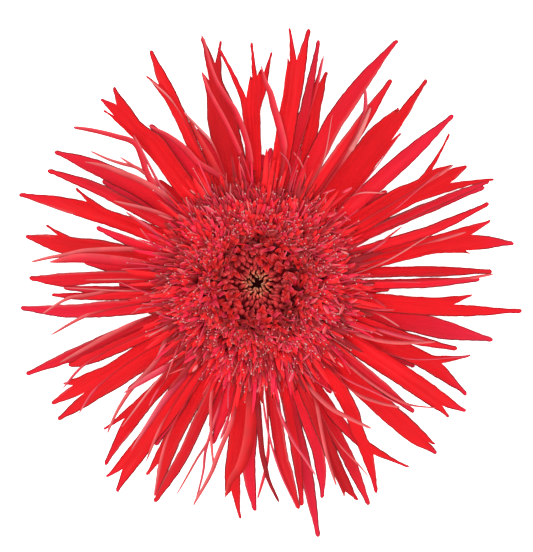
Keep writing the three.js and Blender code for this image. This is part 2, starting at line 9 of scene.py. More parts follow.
import bpy
import numpy as np
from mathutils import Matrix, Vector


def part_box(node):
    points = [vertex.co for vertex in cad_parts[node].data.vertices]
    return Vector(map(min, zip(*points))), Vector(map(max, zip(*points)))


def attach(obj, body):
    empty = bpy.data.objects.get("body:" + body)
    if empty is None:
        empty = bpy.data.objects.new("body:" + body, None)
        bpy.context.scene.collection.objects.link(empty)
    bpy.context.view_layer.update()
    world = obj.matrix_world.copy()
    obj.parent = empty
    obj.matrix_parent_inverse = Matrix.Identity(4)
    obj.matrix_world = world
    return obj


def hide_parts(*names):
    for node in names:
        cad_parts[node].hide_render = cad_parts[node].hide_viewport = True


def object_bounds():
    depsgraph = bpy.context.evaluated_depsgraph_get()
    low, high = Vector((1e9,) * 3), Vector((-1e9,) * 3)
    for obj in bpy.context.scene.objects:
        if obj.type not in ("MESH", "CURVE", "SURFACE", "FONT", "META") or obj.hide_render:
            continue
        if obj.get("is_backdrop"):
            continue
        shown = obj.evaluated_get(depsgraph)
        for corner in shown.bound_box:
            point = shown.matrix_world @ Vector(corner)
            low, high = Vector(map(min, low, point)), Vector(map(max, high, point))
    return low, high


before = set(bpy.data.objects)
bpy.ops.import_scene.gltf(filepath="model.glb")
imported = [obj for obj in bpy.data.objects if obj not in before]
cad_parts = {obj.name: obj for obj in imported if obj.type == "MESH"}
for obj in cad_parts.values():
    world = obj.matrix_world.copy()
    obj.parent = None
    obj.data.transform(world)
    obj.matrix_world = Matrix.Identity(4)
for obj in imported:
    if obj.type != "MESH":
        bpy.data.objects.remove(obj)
cad_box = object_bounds()

MM = 0.001
stalk_low, stalk_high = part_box("stem")
AXIS_X = (stalk_low.x + stalk_high.x) / 2
AXIS_Y = (stalk_low.y + stalk_high.y) / 2

# The photograph's frame: its size, the pixel of the flower's eye and the size of a pixel in millimetres
PHOTO_WIDTH = 533
PHOTO_HEIGHT = 552
EYE_PIXEL = (257.4, 283.5)
PIXEL = 0.24
LENS = 300
SENSOR = 36
FOCUS_HEIGHT = 9

# Sizes that the solids have too
STALK_RADIUS = 3.4
RECEPTACLE_RADIUS = 12
RECEPTACLE_RIM = 19.6
RECEPTACLE_TOP = 21.2
RING_INSIDE = 8.9
RING_OUTSIDE = 12.5
RING_DEPTH = 1.4
SPAN_RADIUS = 60
TWIST_SPREAD = 0.3
RESTING_REACH = 57
LOWEST_HANGING_TIP = 2
BLADE_DEPTH = 0.82
BLADE_ROOT_RADIUS = 10.4
CLAW_WIDTH = 1.7
FULL_WIDTH_RADIUS = 30
SHOULDER_RADIUS = 42
ROOT_RADIUS = 26
ARCH = 0.7
DOME_STEM_RADIUS = 8.4
DOME_RADIUS = 18
PIT_RADIUS = 6.7
PIT_FLOOR = 29
GOLDEN_ANGLE = 137.508

# Rows of blades: the height of their ring, how they rise and bend over to SPAN_RADIUS, and by how much
# the bend differs
Row = namedtuple("Row", "ring slope bend spread")
ROWS = {
    "lower": Row(22.2, -6, 13, 3),
    "middle": Row(23.9, 1, 11, 5),
    "upper": Row(25.6, 5, 6, 3),
    "trans": Row(27.4, 7, 5, 2),
    "crown": Row(27.4, 15, 8, 4),
}


# Small helpers

def mix(low, high, share):
    return low + (high - low) * share


def clamp(value, low=0.0, high=1.0):
    return np.minimum(np.maximum(value, low), high)


def smooth(value, low, high):
    share = clamp((value - low) / (high - low))
    return share * share * (3 - 2 * share)


def ramp(value, start, end, low, high):
    """From low at start to high at end, eased at both."""
    return mix(low, high, smooth(value, start, end))


def unit(vectors):
    return vectors / np.linalg.norm(vectors, axis=-1, keepdims=True)


def polar(radius, direction, height):
    """The point at a distance from the axis, in a direction and at a height, or an array of them."""
    angle = np.radians(direction)
    return np.stack(np.broadcast_arrays(radius * np.cos(angle), radius * np.sin(angle), height), -1)


def rolled_over(side, course, degrees):
    """The directions across a blade, turned over round its course."""
    angle = np.radians(degrees)
    return side * np.cos(angle) + np.cross(side, course) * np.sin(angle)


def seeded(seed):
    """The same draws as the solids were made with, so that each blade bends as its solid does."""
    whole = 0xFFFFFFFF
    state = seed

    def draw():
        nonlocal state
        state = (state + 0x6D2B79F5) & whole
        mixed = ((state ^ (state >> 15)) * (1 | state)) & whole
        again = ((mixed ^ (mixed >> 7)) * (61 | mixed)) & whole
        mixed = ((mixed + again) & whole) ^ mixed
        return (mixed ^ (mixed >> 14)) / 4294967296

    return draw


# Colours as the eye sees them, in 0 to 255, each turned into the paint that looks so under this light

LIGHT_SHARE = 0.47


def tint(*colour):
    share = np.array(colour) / 255
    linear = np.where(share <= 0.04045, share / 12.92, ((share + 0.055) / 1.055) ** 2.4)
    return linear * LIGHT_SHARE


SCARLET = tint(237, 28, 36)
SHADED_SCARLET = tint(196, 26, 34)
RED = tint(212, 28, 40)
CRIMSON = tint(240, 34, 68)
DUSK = tint(192, 36, 46)
DEEP_RED = tint(180, 28, 40)
# Painted shade: the dark red of the dome's skin and of the feet of florets and buds, deep in the gaps among
# them
SHADE_MAROON = tint(108, 16, 24)
ROSE = tint(240, 64, 90)
PINK = tint(244, 118, 120)
SALMON = tint(238, 84, 88)
PALE = tint(246, 132, 130)
PALE_PINK = tint(252, 172, 168)
DOT_PINK = tint(255, 196, 192)
REVERSE = tint(236, 96, 100)
CORAL = tint(236, 112, 88)
CREAM = tint(248, 200, 152)
BUD_BROWN = tint(168, 54, 52)
BUD_RED = tint(210, 56, 60)
# Painted shade: the black of the eye and of the feet of the buds, where shade falls between them
EYE_SHADE = tint(48, 9, 12)
STALK_GREEN = tint(128, 156, 78)
CUT_GREEN = tint(176, 190, 128)
BRACT_GREENS = (tint(96, 128, 58), tint(132, 156, 84))
BRACT_TIP = tint(120, 60, 50)
DOWN = tint(206, 212, 178)

# Ray florets of each row, anticlockwise, with those that lie under others last. root is the direction in
# which the blade leaves the pompon, body its direction at the shoulder, and wide its width there. tips are
# the lobes' ends and forks the notches between them. sides are the places where the outer edges leave the
# body, if not at the shoulder, and full is how much the lobes' edges bulge.
Ray = namedtuple("Ray", "root body wide tips forks sides full", defaults=[(), (), 0.6])
LOWER_RAYS = [
    (5.6, 3.9, 2.6, [(2.9, 56.4)]),
    (24.5, 24.1, 2.8, [(23, 59.7)]),
    (49, 49.2, 7.2, [(46.3, 49.8), (50.3, 64), (51.3, 54.2)], [(46.9, 47), (50.7, 53.4)],
     [(45.2, 42), (54.2, 44.7)]),
    (76.2, 74.6, 3.2, [(75.9, 60.7)], [], [(73.8, 48), (76.3, 44.5)]),
    (102.2, 102.1, 7.2, [(98.6, 59.3), (102.7, 61), (104.6, 52.2)], [(100.9, 54), (103.4, 50.2)],
     [(99.8, 50), (105, 47.5)]),
    (140.5, 143, 5.4, [(147, 58.5)], [], [(141.2, 46), (146.2, 45.8)]),
    (168, 168.1, 5.1, [(164.5, 52.9), (168.5, 57.2)], [(166.4, 49.5)], [(165.9, 46.2), (171.3, 48)]),
    (191.2, 188.8, 3.9, [(185.9, 57.6)], [], [(186.4, 45), (190.6, 45)]),
    (212.5, 212.7, 6.3, [(207.2, 52.6), (210.3, 57.6), (214.3, 58.4)], [(208.9, 50.7), (212.3, 49.2)],
     [(207.6, 48), (216, 48)], 1),
    (241.5, 241.6, 3.6, [(239.9, 53.4), (244.3, 57)], [(241.2, 49.5)], [(238.7, 43.5), (244.4, 49)]),
    (262, 262.5, 4, [(261.4, 51.7), (265.8, 57)], [(262.8, 50.3)], [(259.9, 44), (264.9, 46)]),
    (285, 284.6, 3.3, [(283.5, 63)], [], [(282.6, 46), (286.5, 46)]),
    (297.5, 297.5, 3.1, [(296.7, 60)], [], [(295.7, 49), (299.2, 48)]),
    (315, 315.5, 4.9, [(316.4, 59.7), (317.9, 57.9)], [(317.1, 56.3)], [(313.2, 50), (318.6, 50)], 1),
    (345, 346.3, 4.8, [(346.5, 58.6)], [], [(342.9, 45), (349.3, 44)], 0.2),
    (299, 300.9, 2.9, [(302.6, 47)]),
    (284, 282.9, 2.4, [(281.3, 54.4)]),
    (184, 181.8, 2.2, [(181.2, 46.5)]),
    (174.5, 173.6, 3, [(172.9, 41.8)]),
    (68.8, 70.9, 3.2, [(71.9, 53.6), (73.8, 56.6)], [(72.9, 50.5)], [(70.4, 47), (74.1, 48.6)]),
    (121, 121.6, 4.2, [(124, 46)]),
    (133.5, 133.5, 4, [(133.6, 34)]),
    (180.6, 180.5, 3.4, [(180.5, 33)]),
    (251.5, 251.5, 4, [(251.8, 36)]),
    (303.6, 303.6, 4, [(304, 31.5)]),
    (357, 357.2, 3.4, [(357.5, 31.5)]),
    (84.8, 84.6, 4, [(84.3, 32.5)]),
    (24.5, 24.3, 2, [(23.8, 61.2)], [], [(23.2, 50), (25.3, 50.5)]),
    (331.5, 331.6, 2.4, [(332.2, 42.5)]),
    (238, 238, 2.4, [(237.8, 45.8)]),
    (72.5, 72.5, 3.8, [(72.4, 33.8)]),
    (87.8, 87.8, 2.8, [(87.6, 30.8)]),
    (35.5, 35.7, 3.4, [(35.6, 38)]),
    (109.5, 109.8, 3.6, [(110.9, 39.6)]),
    (146.4, 146.4, 3, [(146.4, 44.5)]),
]
MIDDLE_RAYS = [
    (11.5, 12.5, 4.1, [(8, 51.3), (8.9, 62.4), (15.1, 57.9)], [(9, 50.5), (12.9, 52.5)],
     [(9.6, 43), (15.2, 46)], 1),
    (31, 31, 5.3, [(23.8, 62), (29.3, 57.5), (31.4, 54.3), (38, 58.4)], [(27.6, 52), (30.7, 53), (33, 49.8)],
     [(27, 42), (33, 46)], 1),
    (65.5, 64.7, 4.4, [(60.1, 67.2)]),
    (91.7, 91.7, 3.9, [(86.4, 55.3), (89.3, 51), (91.4, 57.5), (92, 49.4), (99.4, 56.9)],
     [(88.2, 50.3), (90, 49.5), (91.5, 49), (93.4, 44.2)], [(87, 48), (95.2, 43.3)]),
    (126.8, 126.2, 5.1, [(126.1, 58), (130.3, 57.7), (131.6, 55.2)], [(128.2, 54.3), (130.5, 52.6)],
     [(125.8, 48), (130.5, 45.2)]),
    (154.3, 156.3, 4.1, [(152.3, 48.8), (159.5, 60.5)], [(154.3, 44.9)], [(153.6, 39.5), (159.5, 46)]),
    (176.8, 178.1, 3, [(178.6, 54.3)], [], [(176.3, 42), (181, 46.2)]),
    (199.8, 200.4, 2.8, [(201.4, 59.2)], [], [(199, 44), (203, 46)]),
    (227, 226.4, 3.6, [(223.5, 50.5), (230, 56.5)], [(225.4, 45)]),
    (247.5, 246.7, 2.9, [(244.8, 57.4)], [], [(244.9, 45), (248.3, 45)], 1),
    (267.8, 267.6, 2.9, [(269.4, 54.4)], [], [(265.6, 45.5), (269.6, 46)]),
    (290.5, 289.8, 3.2, [(286.8, 53.5)], [], [(287.8, 43), (290.4, 47.2)]),
    (309.5, 305.3, 3.6, [(299.6, 57.7), (309.6, 57)], [(304.2, 49.3)], [(301.8, 44.6), (305.3, 46.1)]),
    (334.5, 335.6, 4.4, [(332, 56.3), (341.4, 53.5)], [(336.6, 47.7)], [(332.7, 43), (337.8, 45)]),
    (350.8, 352.5, 4.4, [(354.1, 63.7), (357, 51.3)], [(354, 47.1)]),
]
UPPER_RAYS = [
    (-0.4, 0.3, 2.4, [(1.1, 52.5)]),
    (17.3, 17, 2.5, [(19.1, 58)]),
    (39.3, 40.2, 4, [(40.7, 61.3)]),
    (58.5, 56.9, 3.6, [(56.7, 57.8)], [], [(54.8, 44), (59, 44)]),
    (79, 79.5, 4.5, [(78.5, 61.5), (82.8, 60.9), (82.3, 53.8)], [(80, 53.6), (81.7, 53)],
     [(76.6, 45), (82.3, 45)]),
    (115, 114.8, 2.9, [(114.5, 60.6), (118.1, 55.6)], [(116.3, 52.5)], [(112.8, 45), (116.7, 48)], 1),
    (147.4, 149.2, 2.8, [(151.6, 56.4)], [], [(147.4, 44), (151.2, 46)]),
    (162.2, 161.7, 2.3, [(160.7, 40.2)]),
    (184.6, 184.2, 2.7, [(183.1, 48.7)], [], [(182.9, 42), (185.3, 42)]),
    (204.5, 204.2, 3.2, [(203.4, 48.7)], [], [(202.2, 44), (205.3, 46)]),
    (219.3, 219.8, 2.2, [(219.5, 39.6)]),
    (235.5, 234.7, 4.9, [(232, 58), (236, 59.3)], [(234, 54.2)], [(231.9, 46), (237.3, 46.5)]),
    (255, 255.4, 3, [(254.5, 39.3)]),
    (277.8, 278, 3.1, [(280.4, 54.1)], [], [(276, 42), (280.7, 45)]),
    (294, 293.6, 3, [(292.2, 54.4), (294.9, 56.5)], [(292.9, 53.4)], [(291.5, 44), (295.3, 48.3)], 0.3),
    (320.5, 320.2, 2.8, [(320.7, 47.8)]),
    (328, 327.6, 4.8, [(325.1, 55.2), (328.6, 57.8)], [(326.6, 52.5)], [], 0.6),
    (340.5, 340, 2.5, [(341.9, 49.8)]),
]
RAYS = {"lower": LOWER_RAYS, "middle": MIDDLE_RAYS, "upper": UPPER_RAYS}

# Long narrow trans florets that lie over the rays, and slimmer threads and rolled edges among them: the
# width, the tone and the places on the stretch that shows, from where each comes out of the pompon or
# lifts off a ray, to its tip
STRAPS = [
    (0.42, "pale", (8.6, 27.9), (15.6, 42.1)), (0.35, "pale", (61.5, 32), (66, 43.5)),
    (1.8, "crimson", (78.7, 32), (82.5, 38.2), (84.7, 41.9), (86.1, 45), (87.9, 48), (89, 51.4)),
    (1.4, "crimson", (93.1, 28.2), (94, 32.9), (97.2, 40.8), (99.8, 45), (101.5, 49), (102.6, 60)),
    (1.2, "crimson", (97.5, 30.5), (98.8, 33.5), (101.3, 39.2), (104.2, 47.4), (104.6, 51.5)),
    (1.7, "scarlet", (108.5, 22), (112.6, 43.6)),
    (1.6, "crimson", (107.4, 25.2), (116.2, 31.7), (118.5, 36.5), (121.6, 41.4), (124.7, 45.3)),
    (0.75, "pink", (137, 27), (129.7, 45.5)),
    (0.95, "salmon", (134.5, 31), (135.5, 36.9), (136.1, 39.4), (138.5, 42.7), (140.1, 45.7), (141.5, 50.1)),
    (1.6, "salmon", (136.2, 29), (138.8, 37.3), (140.8, 41.3), (142.4, 45.2), (144.7, 49.6)),
    (1.5, "crimson", (137.5, 31), (134.7, 37.1), (132.6, 40), (131.1, 43.8), (133.8, 48.1), (137.6, 53.8),
     (139.6, 56.8)),
    (0.98, "salmon", (143, 26), (150, 39)),
    (1.3, "salmon", (164.6, 29.9), (166.5, 34.6), (168.1, 38.4), (169.6, 42.1), (171.4, 45.5), (172.9, 49.5),
     (174.5, 53.4)),
    (2.4, "crimson", (170.5, 26), (171.8, 42), (174.1, 49.3)), (1.3, "salmon", (197.5, 29), (201.8, 50)),
    (1.2, "salmon", (212, 25.2), (216.9, 29.1), (219.2, 35.3), (220, 38.7), (221.3, 42.2), (222.7, 45.4),
     (224.9, 49.8)),
    (1.7, "pink", (222.5, 29), (220.7, 34.2), (219.3, 40.8)), (0.56, "pale", (223.8, 30.4), (226.6, 46.4)),
    (1.9, "pink", (231.6, 27), (231.4, 34.3), (232.9, 49.2)),
    (0.85, "salmon", (246.4, 25.8), (253.5, 38.1), (257, 45.2)),
    (0.7, "salmon", (252.6, 32), (252.6, 39), (251, 43.7), (249.7, 49.8), (249.1, 53.1)),
    (0.8, "pink", (252.9, 30), (252.9, 41.6), (253.9, 45.7), (254.2, 54.2)),
    (1.3, "salmon", (259.8, 31.4), (256.9, 42.4), (256.4, 45.5), (253.9, 54.2)),
    (2.8, "scarlet", (267.6, 25.6), (267.3, 33.3), (266.5, 38.5), (264.5, 43.8), (262.5, 46.5),
     (261.5, 50.9)),
    (1.4, "dark", (270.5, 28), (271.1, 34.6), (271.7, 40), (272.6, 43.6), (273.3, 46.2), (275.7, 51.7)),
    (0.8, "pink", (279.4, 28.8), (280.8, 33.3), (283.2, 38.7), (285.4, 43), (286.9, 47.1)),
    (1, "salmon", (296.2, 31.6), (294.2, 36.5), (292.6, 41.6), (291.7, 46.9), (291.4, 51.1)),
    (1.2, "salmon", (296.7, 26.5), (300.5, 33.8), (304.4, 38.3), (308.2, 43.4)),
    (0.75, "salmon", (318.4, 28.1), (318.9, 35.6), (321.3, 45.3), (325.1, 51.2)),
    (1.1, "salmon", (333.1, 25.4), (336.1, 33.8), (341.9, 44.1)),
    (0.5, "salmon", (297, 42), (299.2, 48.7), (300, 52.4)), (0.9, "pink", (-0.9, 23.5), (-0.5, 27.4)),
    (0.28, "pink", (0.9, 31.5), (0.5, 38.6)), (0.85, "salmon", (1.6, 50), (2.3, 55.8)),
    (0.83, "salmon", (13.6, 42.9), (13.9, 50.6)), (0.75, "pink", (15.8, 26.4), (18.4, 32)),
    (0.56, "crimson", (16.3, 27.2), (19.7, 32.9), (21.5, 36.6)),
    (0.35, "pink", (28.4, 36.6), (30, 42.5), (31.5, 50.3)), (0.9, "salmon", (30.9, 49.5), (31.2, 54)),
    (0.42, "pale", (42.1, 31.4), (35.4, 36.9)), (0.35, "pink", (42.9, 31.8), (46.3, 49.4)),
    (1.5, "pale", (55.2, 38), (55.6, 42), (57.2, 49.3)), (1.1, "pink", (58.1, 47.7), (61, 52.6)),
    (0.5, "salmon", (65.4, 27), (70.9, 30.6), (74.6, 32.1)),
    (0.45, "pink", (73, 26.8), (76.7, 30), (80.2, 31.4)), (0.63, "pink", (73.2, 49.5), (73.8, 56)),
    (0.75, "pale", (107.9, 34.9), (110.5, 39), (113.1, 43.8)), (0.56, "pale", (114.9, 46.9), (118.1, 55)),
    (0.75, "salmon", (135.7, 37.1), (137.3, 44)), (1, "pink", (154.5, 24), (152.8, 28.4), (151.4, 35.2)),
    (1, "pink", (175, 22.8), (168.9, 27.5)), (0.35, "pale", (178, 28.2), (178.8, 40.4)),
    (0.42, "pale", (183.6, 28), (181.2, 45.5)),
    (1, "salmon", (183.2, 36), (184, 40.5), (184.3, 44.1), (185.2, 46.2), (188, 51)),
    (0.95, "salmon", (190.4, 40), (191.3, 43), (194, 50.1)), (0.56, "pink", (189.8, 24.8), (193.5, 30.5)),
    (0.75, "pink", (205.3, 45.3), (208.3, 52)), (0.63, "pink", (212.9, 44.8), (216.1, 52.1)),
    (0.56, "pink", (226.9, 33.7), (228.4, 38.4)), (0.75, "salmon", (235.8, 39.5), (238, 49.5)),
    (0.83, "salmon", (239.9, 42), (244.2, 56.2)), (0.9, "pink", (257.8, 32.8), (256.7, 37.7)),
    (0.85, "crimson", (273.9, 38.9), (272.5, 44.1), (271.2, 47.5), (270.1, 50.6)),
    (0.6, "pink", (273.1, 28.9), (274.6, 36.4), (277.1, 45.2), (279.9, 53.4)),
    (0.49, "pink", (312.5, 29.5), (317.5, 38.2), (319.7, 44.2)),
    (0.9, "salmon", (311.9, 34.3), (315.9, 40.3), (319.1, 44.5)),
    (0.35, "pink", (332.8, 37.9), (340.9, 52.6)),
    (0.98, "pink", (339.4, 30.4), (340.3, 37.5), (341.1, 41.4)), (0.49, "pale", (345.7, 29.9), (343.2, 35)),
    (0.49, "pink", (347.4, 27.5), (349.2, 32.9)), (0.56, "crimson", (352.7, 27.6), (349.6, 30.9)),
]

# Folded lobes that lie across the pompon and catch the light, pink partly from their reverse and partly
# as painted highlight, with a paler painted highlight on one rim: the width, the tone and both ends
FOLDS = [
    (0.8, "pink", (338.9, 13.1), (347, 14.5)), (1.1, "pink", (342.8, 16.3), (337.4, 18.2)),
    (0.8, "salmon", (346.7, 21), (338.9, 20.5)), (0.6, "pink", (350.8, 18.1), (345.2, 19.9)),
    (0.8, "salmon", (329.3, 19), (322.6, 19.3)), (0.5, "salmon", (316.5, 22.8), (314.6, 26.1)),
    (0.4, "pale", (315.9, 26.1), (315.9, 28.1)), (0.6, "pink", (287.1, 16), (293.7, 15)),
    (0.5, "pink", (312.7, 19.4), (310.9, 21.6)), (0.5, "pink", (299.8, 20.9), (307.1, 20.4)),
    (0.8, "pink", (293, 22.3), (288, 24.2)), (0.35, "salmon", (217.9, 23.2), (226.3, 31.1)),
    (0.7, "pale", (233.9, 23.3), (233.6, 25.6)), (0.5, "salmon", (246, 18.6), (244.4, 20.4)),
    (0.6, "pink", (213.1, 25.2), (215.6, 28.6)), (0.3, "salmon", (229.8, 25.6), (225.8, 29.6)),
    (0.5, "salmon", (142.8, 24.4), (145.2, 28.3)), (0.5, "salmon", (137.6, 22), (138.6, 24.6)),
    (1, "pink", (120.4, 18.9), (124.3, 22)), (0.9, "pink", (119, 17), (122, 18.2)),
    (0.4, "pale", (124.5, 25.3), (125.5, 27)), (0.3, "pink", (118.3, 22.1), (120.8, 23.7)),
    (0.4, "pink", (107, 20.5), (108.6, 22.2)), (0.35, "pink", (99.2, 20.2), (99.1, 22.1)),
    (0.35, "salmon", (110.9, 14.6), (116.6, 14.8)), (0.45, "pink", (113.5, 11.4), (115, 13.4)),
    (0.45, "pink", (99.1, 11.4), (101, 13.1)), (1, "salmon", (172.4, 17), (169.5, 19)),
    (0.8, "crimson", (163, 17), (166, 18.6)), (0.4, "pink", (68.1, 16.2), (58.4, 16.8)),
    (0.5, "pink", (79.5, 15.3), (83.6, 16.5)), (0.4, "pink", (54.2, 26), (50.4, 28.8)),
    (0.6, "pink", (47.1, 29.1), (45.4, 31.7)), (0.3, "pink", (51.4, 25.8), (49.5, 24.7)),
    (1, "crimson", (44.1, 22.7), (42, 25)), (0.4, "pink", (38.3, 25.7), (34, 26.5)),
    (0.5, "salmon", (23.8, 20.9), (20.9, 22.6)), (0.5, "pale", (22, 20.8), (17.7, 22.6)),
    (0.5, "pink", (44.2, 8.4), (48.1, 10.5)), (0.8, "pink", (43.2, 11.4), (36.6, 13.5)),
    (0.8, "pink", (17.5, 7.6), (6.4, 9.5)), (0.35, "pale", (16.5, 14.7), (11.7, 14.8)),
]

TONES = {"crimson": tint(238, 32, 56), "pink": ROSE, "salmon": SALMON, "pale": PALE, "scarlet": SCARLET,
         "dark": tint(172, 26, 36)}


# Meshes

OCTAHEDRON = np.array([(1, 0, 0), (0, 1, 0), (-1, 0, 0), (0, -1, 0), (0, 0, 1), (0, 0, -1)], float)
OCTAHEDRON_FACES = [(0, 1, 4), (1, 2, 4), (2, 3, 4), (3, 0, 4), (1, 0, 5), (2, 1, 5), (3, 2, 5), (0, 3, 5)]
HAIR_FACES = [(0, 2, 1), (0, 1, 3), (1, 2, 3), (2, 0, 3)]
AXIS_CLEARANCE = 0.01
ANGLE_TO_GRAIN = 3


def net(rows, columns, steps):
    """Quads over rows of points that come round: each row is joined to the next, in so many steps."""
    row, column = np.meshgrid(np.arange(steps), np.arange(columns), indexing="ij")
    near, far = row * columns, (row + 1) % rows * columns
    after = (column + 1) % columns
    return np.stack([near + column, near + after, far + after, far + column], -1)


class Heap:
    """Points and faces of one piece in the making. Each point has a colour, a place in the grain and the
    number of the crisp rim that it is on, or 0."""

    def __init__(self):
        self.points, self.tints, self.grains, self.rims = [], [], [], []
        self.quads, self.tris = [], []
        self.count = 0

    def add(self, points, tints, grains, quads=(), tris=(), rims=0):
        points = np.reshape(points, (-1, 3))
        self.points.append(points)
        self.tints.append(np.broadcast_to(tints, points.shape))
        self.grains.append(np.broadcast_to(grains, points.shape))
        self.rims.append(np.broadcast_to(rims, len(points)))
        self.quads.append(np.reshape(quads, (-1, 4)).astype(int) + self.count)
        self.tris.append(np.reshape(tris, (-1, 3)).astype(int) + self.count)
        self.count += len(points)

    def tube(self, rings, tints, grains, rims=0):
        """A closed skin over rings of points, each ring listed clockwise as seen from behind."""
        rows, sides = rings.shape[:2]
        around = np.arange(1, sides - 1)
        start = np.stack([0 * around, around + 1, around], -1)
        end = start[:, [0, 2, 1]] + (rows - 1) * sides
        self.add(rings, tints.reshape(-1, 3), grains.reshape(-1, 3), net(rows, sides, rows - 1),
                 np.concatenate([start, end]), rims)

    def strip(self, line, side, half, depth, channel, tones, edge, under, grain, middle=1.0, shade=0.95):
        """A narrow blade along a line: a flat lens in section with two crisp rims, its middle sunk by
        channel. Above, its tones are multiplied by shade on its one rim and by middle along its middle, both
        painted shade, and the other rim has those of edge."""
        rows = len(line)
        half, depth, channel = (np.broadcast_to(v, rows)[:, None] for v in (half, depth, channel))
        up = unit(np.cross(side, unit(np.gradient(line, axis=0))))
        rings = np.stack([line - side * half, line + up * (depth / 2 - channel),
                          line + side * half, line - up * (depth / 2 + channel)], 1)
        colours = np.stack([tones * shade, tones * middle, edge, np.broadcast_to(under, tones.shape)], 1)
        along = np.concatenate([[0], np.cumsum(np.linalg.norm(np.diff(line, axis=0), axis=1))])
        grains = np.stack(np.broadcast_arrays(half * np.array([-1, 0, 1, 0]), along[:, None], grain), -1)
        self.tube(rings, colours, grains, np.tile([1, 0, 2, 0], rows))

    def plate(self, top, low, quads, tris, tints, low_tints, grains):
        """Closes a face of points into a thin solid with the same faces below."""
        count = len(top)
        directed = {edge for face in [*quads, *tris] for edge in zip(face, (*face[1:], face[0]))}
        walls = [(a, a + count, b + count, b) for a, b in sorted(directed) if (b, a) not in directed]
        quads = np.asarray(quads, int).reshape(-1, 4)
        tris = np.asarray(tris, int).reshape(-1, 3)
        rims = np.zeros(2 * count, int)
        rims[[a for a, *_ in walls]] = 1
        rims[count:] = 2 * rims[:count]
        self.add(np.concatenate([top, low]), np.concatenate([tints, low_tints]),
                 np.concatenate([grains, grains]), np.concatenate([quads, quads[:, ::-1] + count, walls]),
                 np.concatenate([tris, tris[:, ::-1] + count]), rims)

    def turned(self, profile, sides, colours, ribs=0, rib_depth=0.0):
        """A body of revolution from (radius, height) pairs, listed up its outside from axis to axis."""
        radius, height = np.array(profile, float).T[:, :, None]
        direction = np.arange(sides) * 360 / sides
        wave = 1 + rib_depth * np.cos(np.radians(ribs * direction))
        rings = polar(np.maximum(radius, AXIS_CLEARANCE) * wave, direction, height)[:, ::-1]
        grains = np.stack(np.broadcast_arrays(np.radians(direction) * ANGLE_TO_GRAIN, height, 0), -1)
        colours = np.broadcast_to(colours, (len(profile), 3))[:, None]
        self.tube(rings, np.broadcast_to(colours, rings.shape), grains)

    def copies(self, bodies, faces, colour):
        """Small bodies with the same faces, each with its own points."""
        faces = np.array(faces) + bodies.shape[1] * np.arange(len(bodies))[:, None, None]
        self.add(bodies, colour, 0.0, tris=faces)

    def bead(self, centre, radius, colour):
        """A small round knob."""
        self.copies((centre + OCTAHEDRON * radius)[None], OCTAHEDRON_FACES, colour)

    def hairs(self, feet, tips, thickness, colour):
        """A fine three-sided cone from each foot to its tip."""
        course = unit(tips - feet)
        side = unit(np.cross(course, [0.3, 0.2, 1.0]))
        other = np.cross(course, side)
        turns = np.radians([0, 120, 240])[None, :, None]
        base = feet[:, None] + thickness * (side[:, None] * np.cos(turns) + other[:, None] * np.sin(turns))
        self.copies(np.concatenate([base, tips[:, None]], 1), HAIR_FACES, colour)

    def piece(self, name, nodes, slot, material):
        points = np.concatenate(self.points) * MM + np.array([AXIS_X, AXIS_Y, 0])
        faces = [*np.concatenate(self.quads).tolist(), *np.concatenate(self.tris).tolist()]
        mesh = bpy.data.meshes.new(name)
        mesh.from_pydata(points, [], faces, False)
        ends = np.empty(2 * len(mesh.edges), int)
        mesh.edges.foreach_get("vertices", ends)
        rims = np.concatenate(self.rims)[ends.reshape(-1, 2)]
        crisp = (rims[:, 0] > 0) & (rims[:, 0] == rims[:, 1])
        tints = np.insert(np.concatenate(self.tints), 3, 1, axis=1)
        for title, kind, domain, field, values in (
                ("sharp_edge", "BOOLEAN", "EDGE", "value", crisp),
                ("Tint", "FLOAT_COLOR", "POINT", "color", tints),
                ("Grain", "FLOAT_VECTOR", "POINT", "vector", np.concatenate(self.grains))):
            mesh.attributes.new(title, kind, domain).data.foreach_set(field, values.ravel())
        mesh.materials.append(material)
        piece = bpy.data.objects.new(name, mesh)
        bpy.context.scene.collection.objects.link(piece)
        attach(piece, "root")
        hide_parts(*nodes)


# Materials: each takes its colour from the mesh's own tints, broken up along the grain

STREAK_SCALE = (3.2, 0.16, 1.0)
MOTTLE_SCALE = 260
NOISE_RANGE = (0.3, 0.7)
ROUGHNESS_SPREAD = 0.08
RELIEF_HEIGHT = 0.06


def grown(name, roughness, streak, mottle, bump, specular=0.06):
    material = bpy.data.materials.new(name)
    material.use_nodes = True
    nodes, links = material.node_tree.nodes, material.node_tree.links
    shader = nodes["Principled BSDF"]
    shader.inputs["Specular IOR Level"].default_value = specular

    def node(kind, output, inputs, **settings):
        """The output of a new node, whose inputs are values or the outputs of other nodes."""
        added = nodes.new(f"ShaderNode{kind}")
        for key, value in settings.items():
            setattr(added, key, value)
        for key, value in inputs.items():
            if isinstance(value, bpy.types.NodeSocket):
                links.new(value, added.inputs[key])
            else:
                added.inputs[key].default_value = value
        return added.outputs[output]

    def spread(value, low, high):
        return node("MapRange", "Result", {"Value": value, "From Min": NOISE_RANGE[0],
                                           "From Max": NOISE_RANGE[1], "To Min": low, "To Max": high})

    grain = node("Attribute", "Vector", {}, attribute_name="Grain")
    stretched = node("Mapping", "Vector", {"Vector": grain, "Scale": STREAK_SCALE})
    streaks = node("TexNoise", "Fac", {"Vector": stretched, "Scale": 1.0, "Detail": 3})
    place = node("TexCoord", "Object", {})
    patches = node("TexNoise", "Fac", {"Vector": place, "Scale": MOTTLE_SCALE, "Detail": 2})
    colour = node("Attribute", "Color", {}, attribute_name="Tint")
    for value, depth in ((streaks, streak), (patches, mottle)):
        shade = spread(value, 1 - depth, 1 + depth)
        colour = node("VectorMath", "Vector", {0: colour, "Scale": shade}, operation="SCALE")
    roughness = spread(patches, roughness - ROUGHNESS_SPREAD, roughness + ROUGHNESS_SPREAD)
    relief = node("Bump", "Normal", {"Strength": bump, "Distance": RELIEF_HEIGHT * MM, "Height": streaks})
    for key, value in (("Base Color", colour), ("Roughness", roughness), ("Normal", relief)):
        links.new(value, shader.inputs[key])
    return material


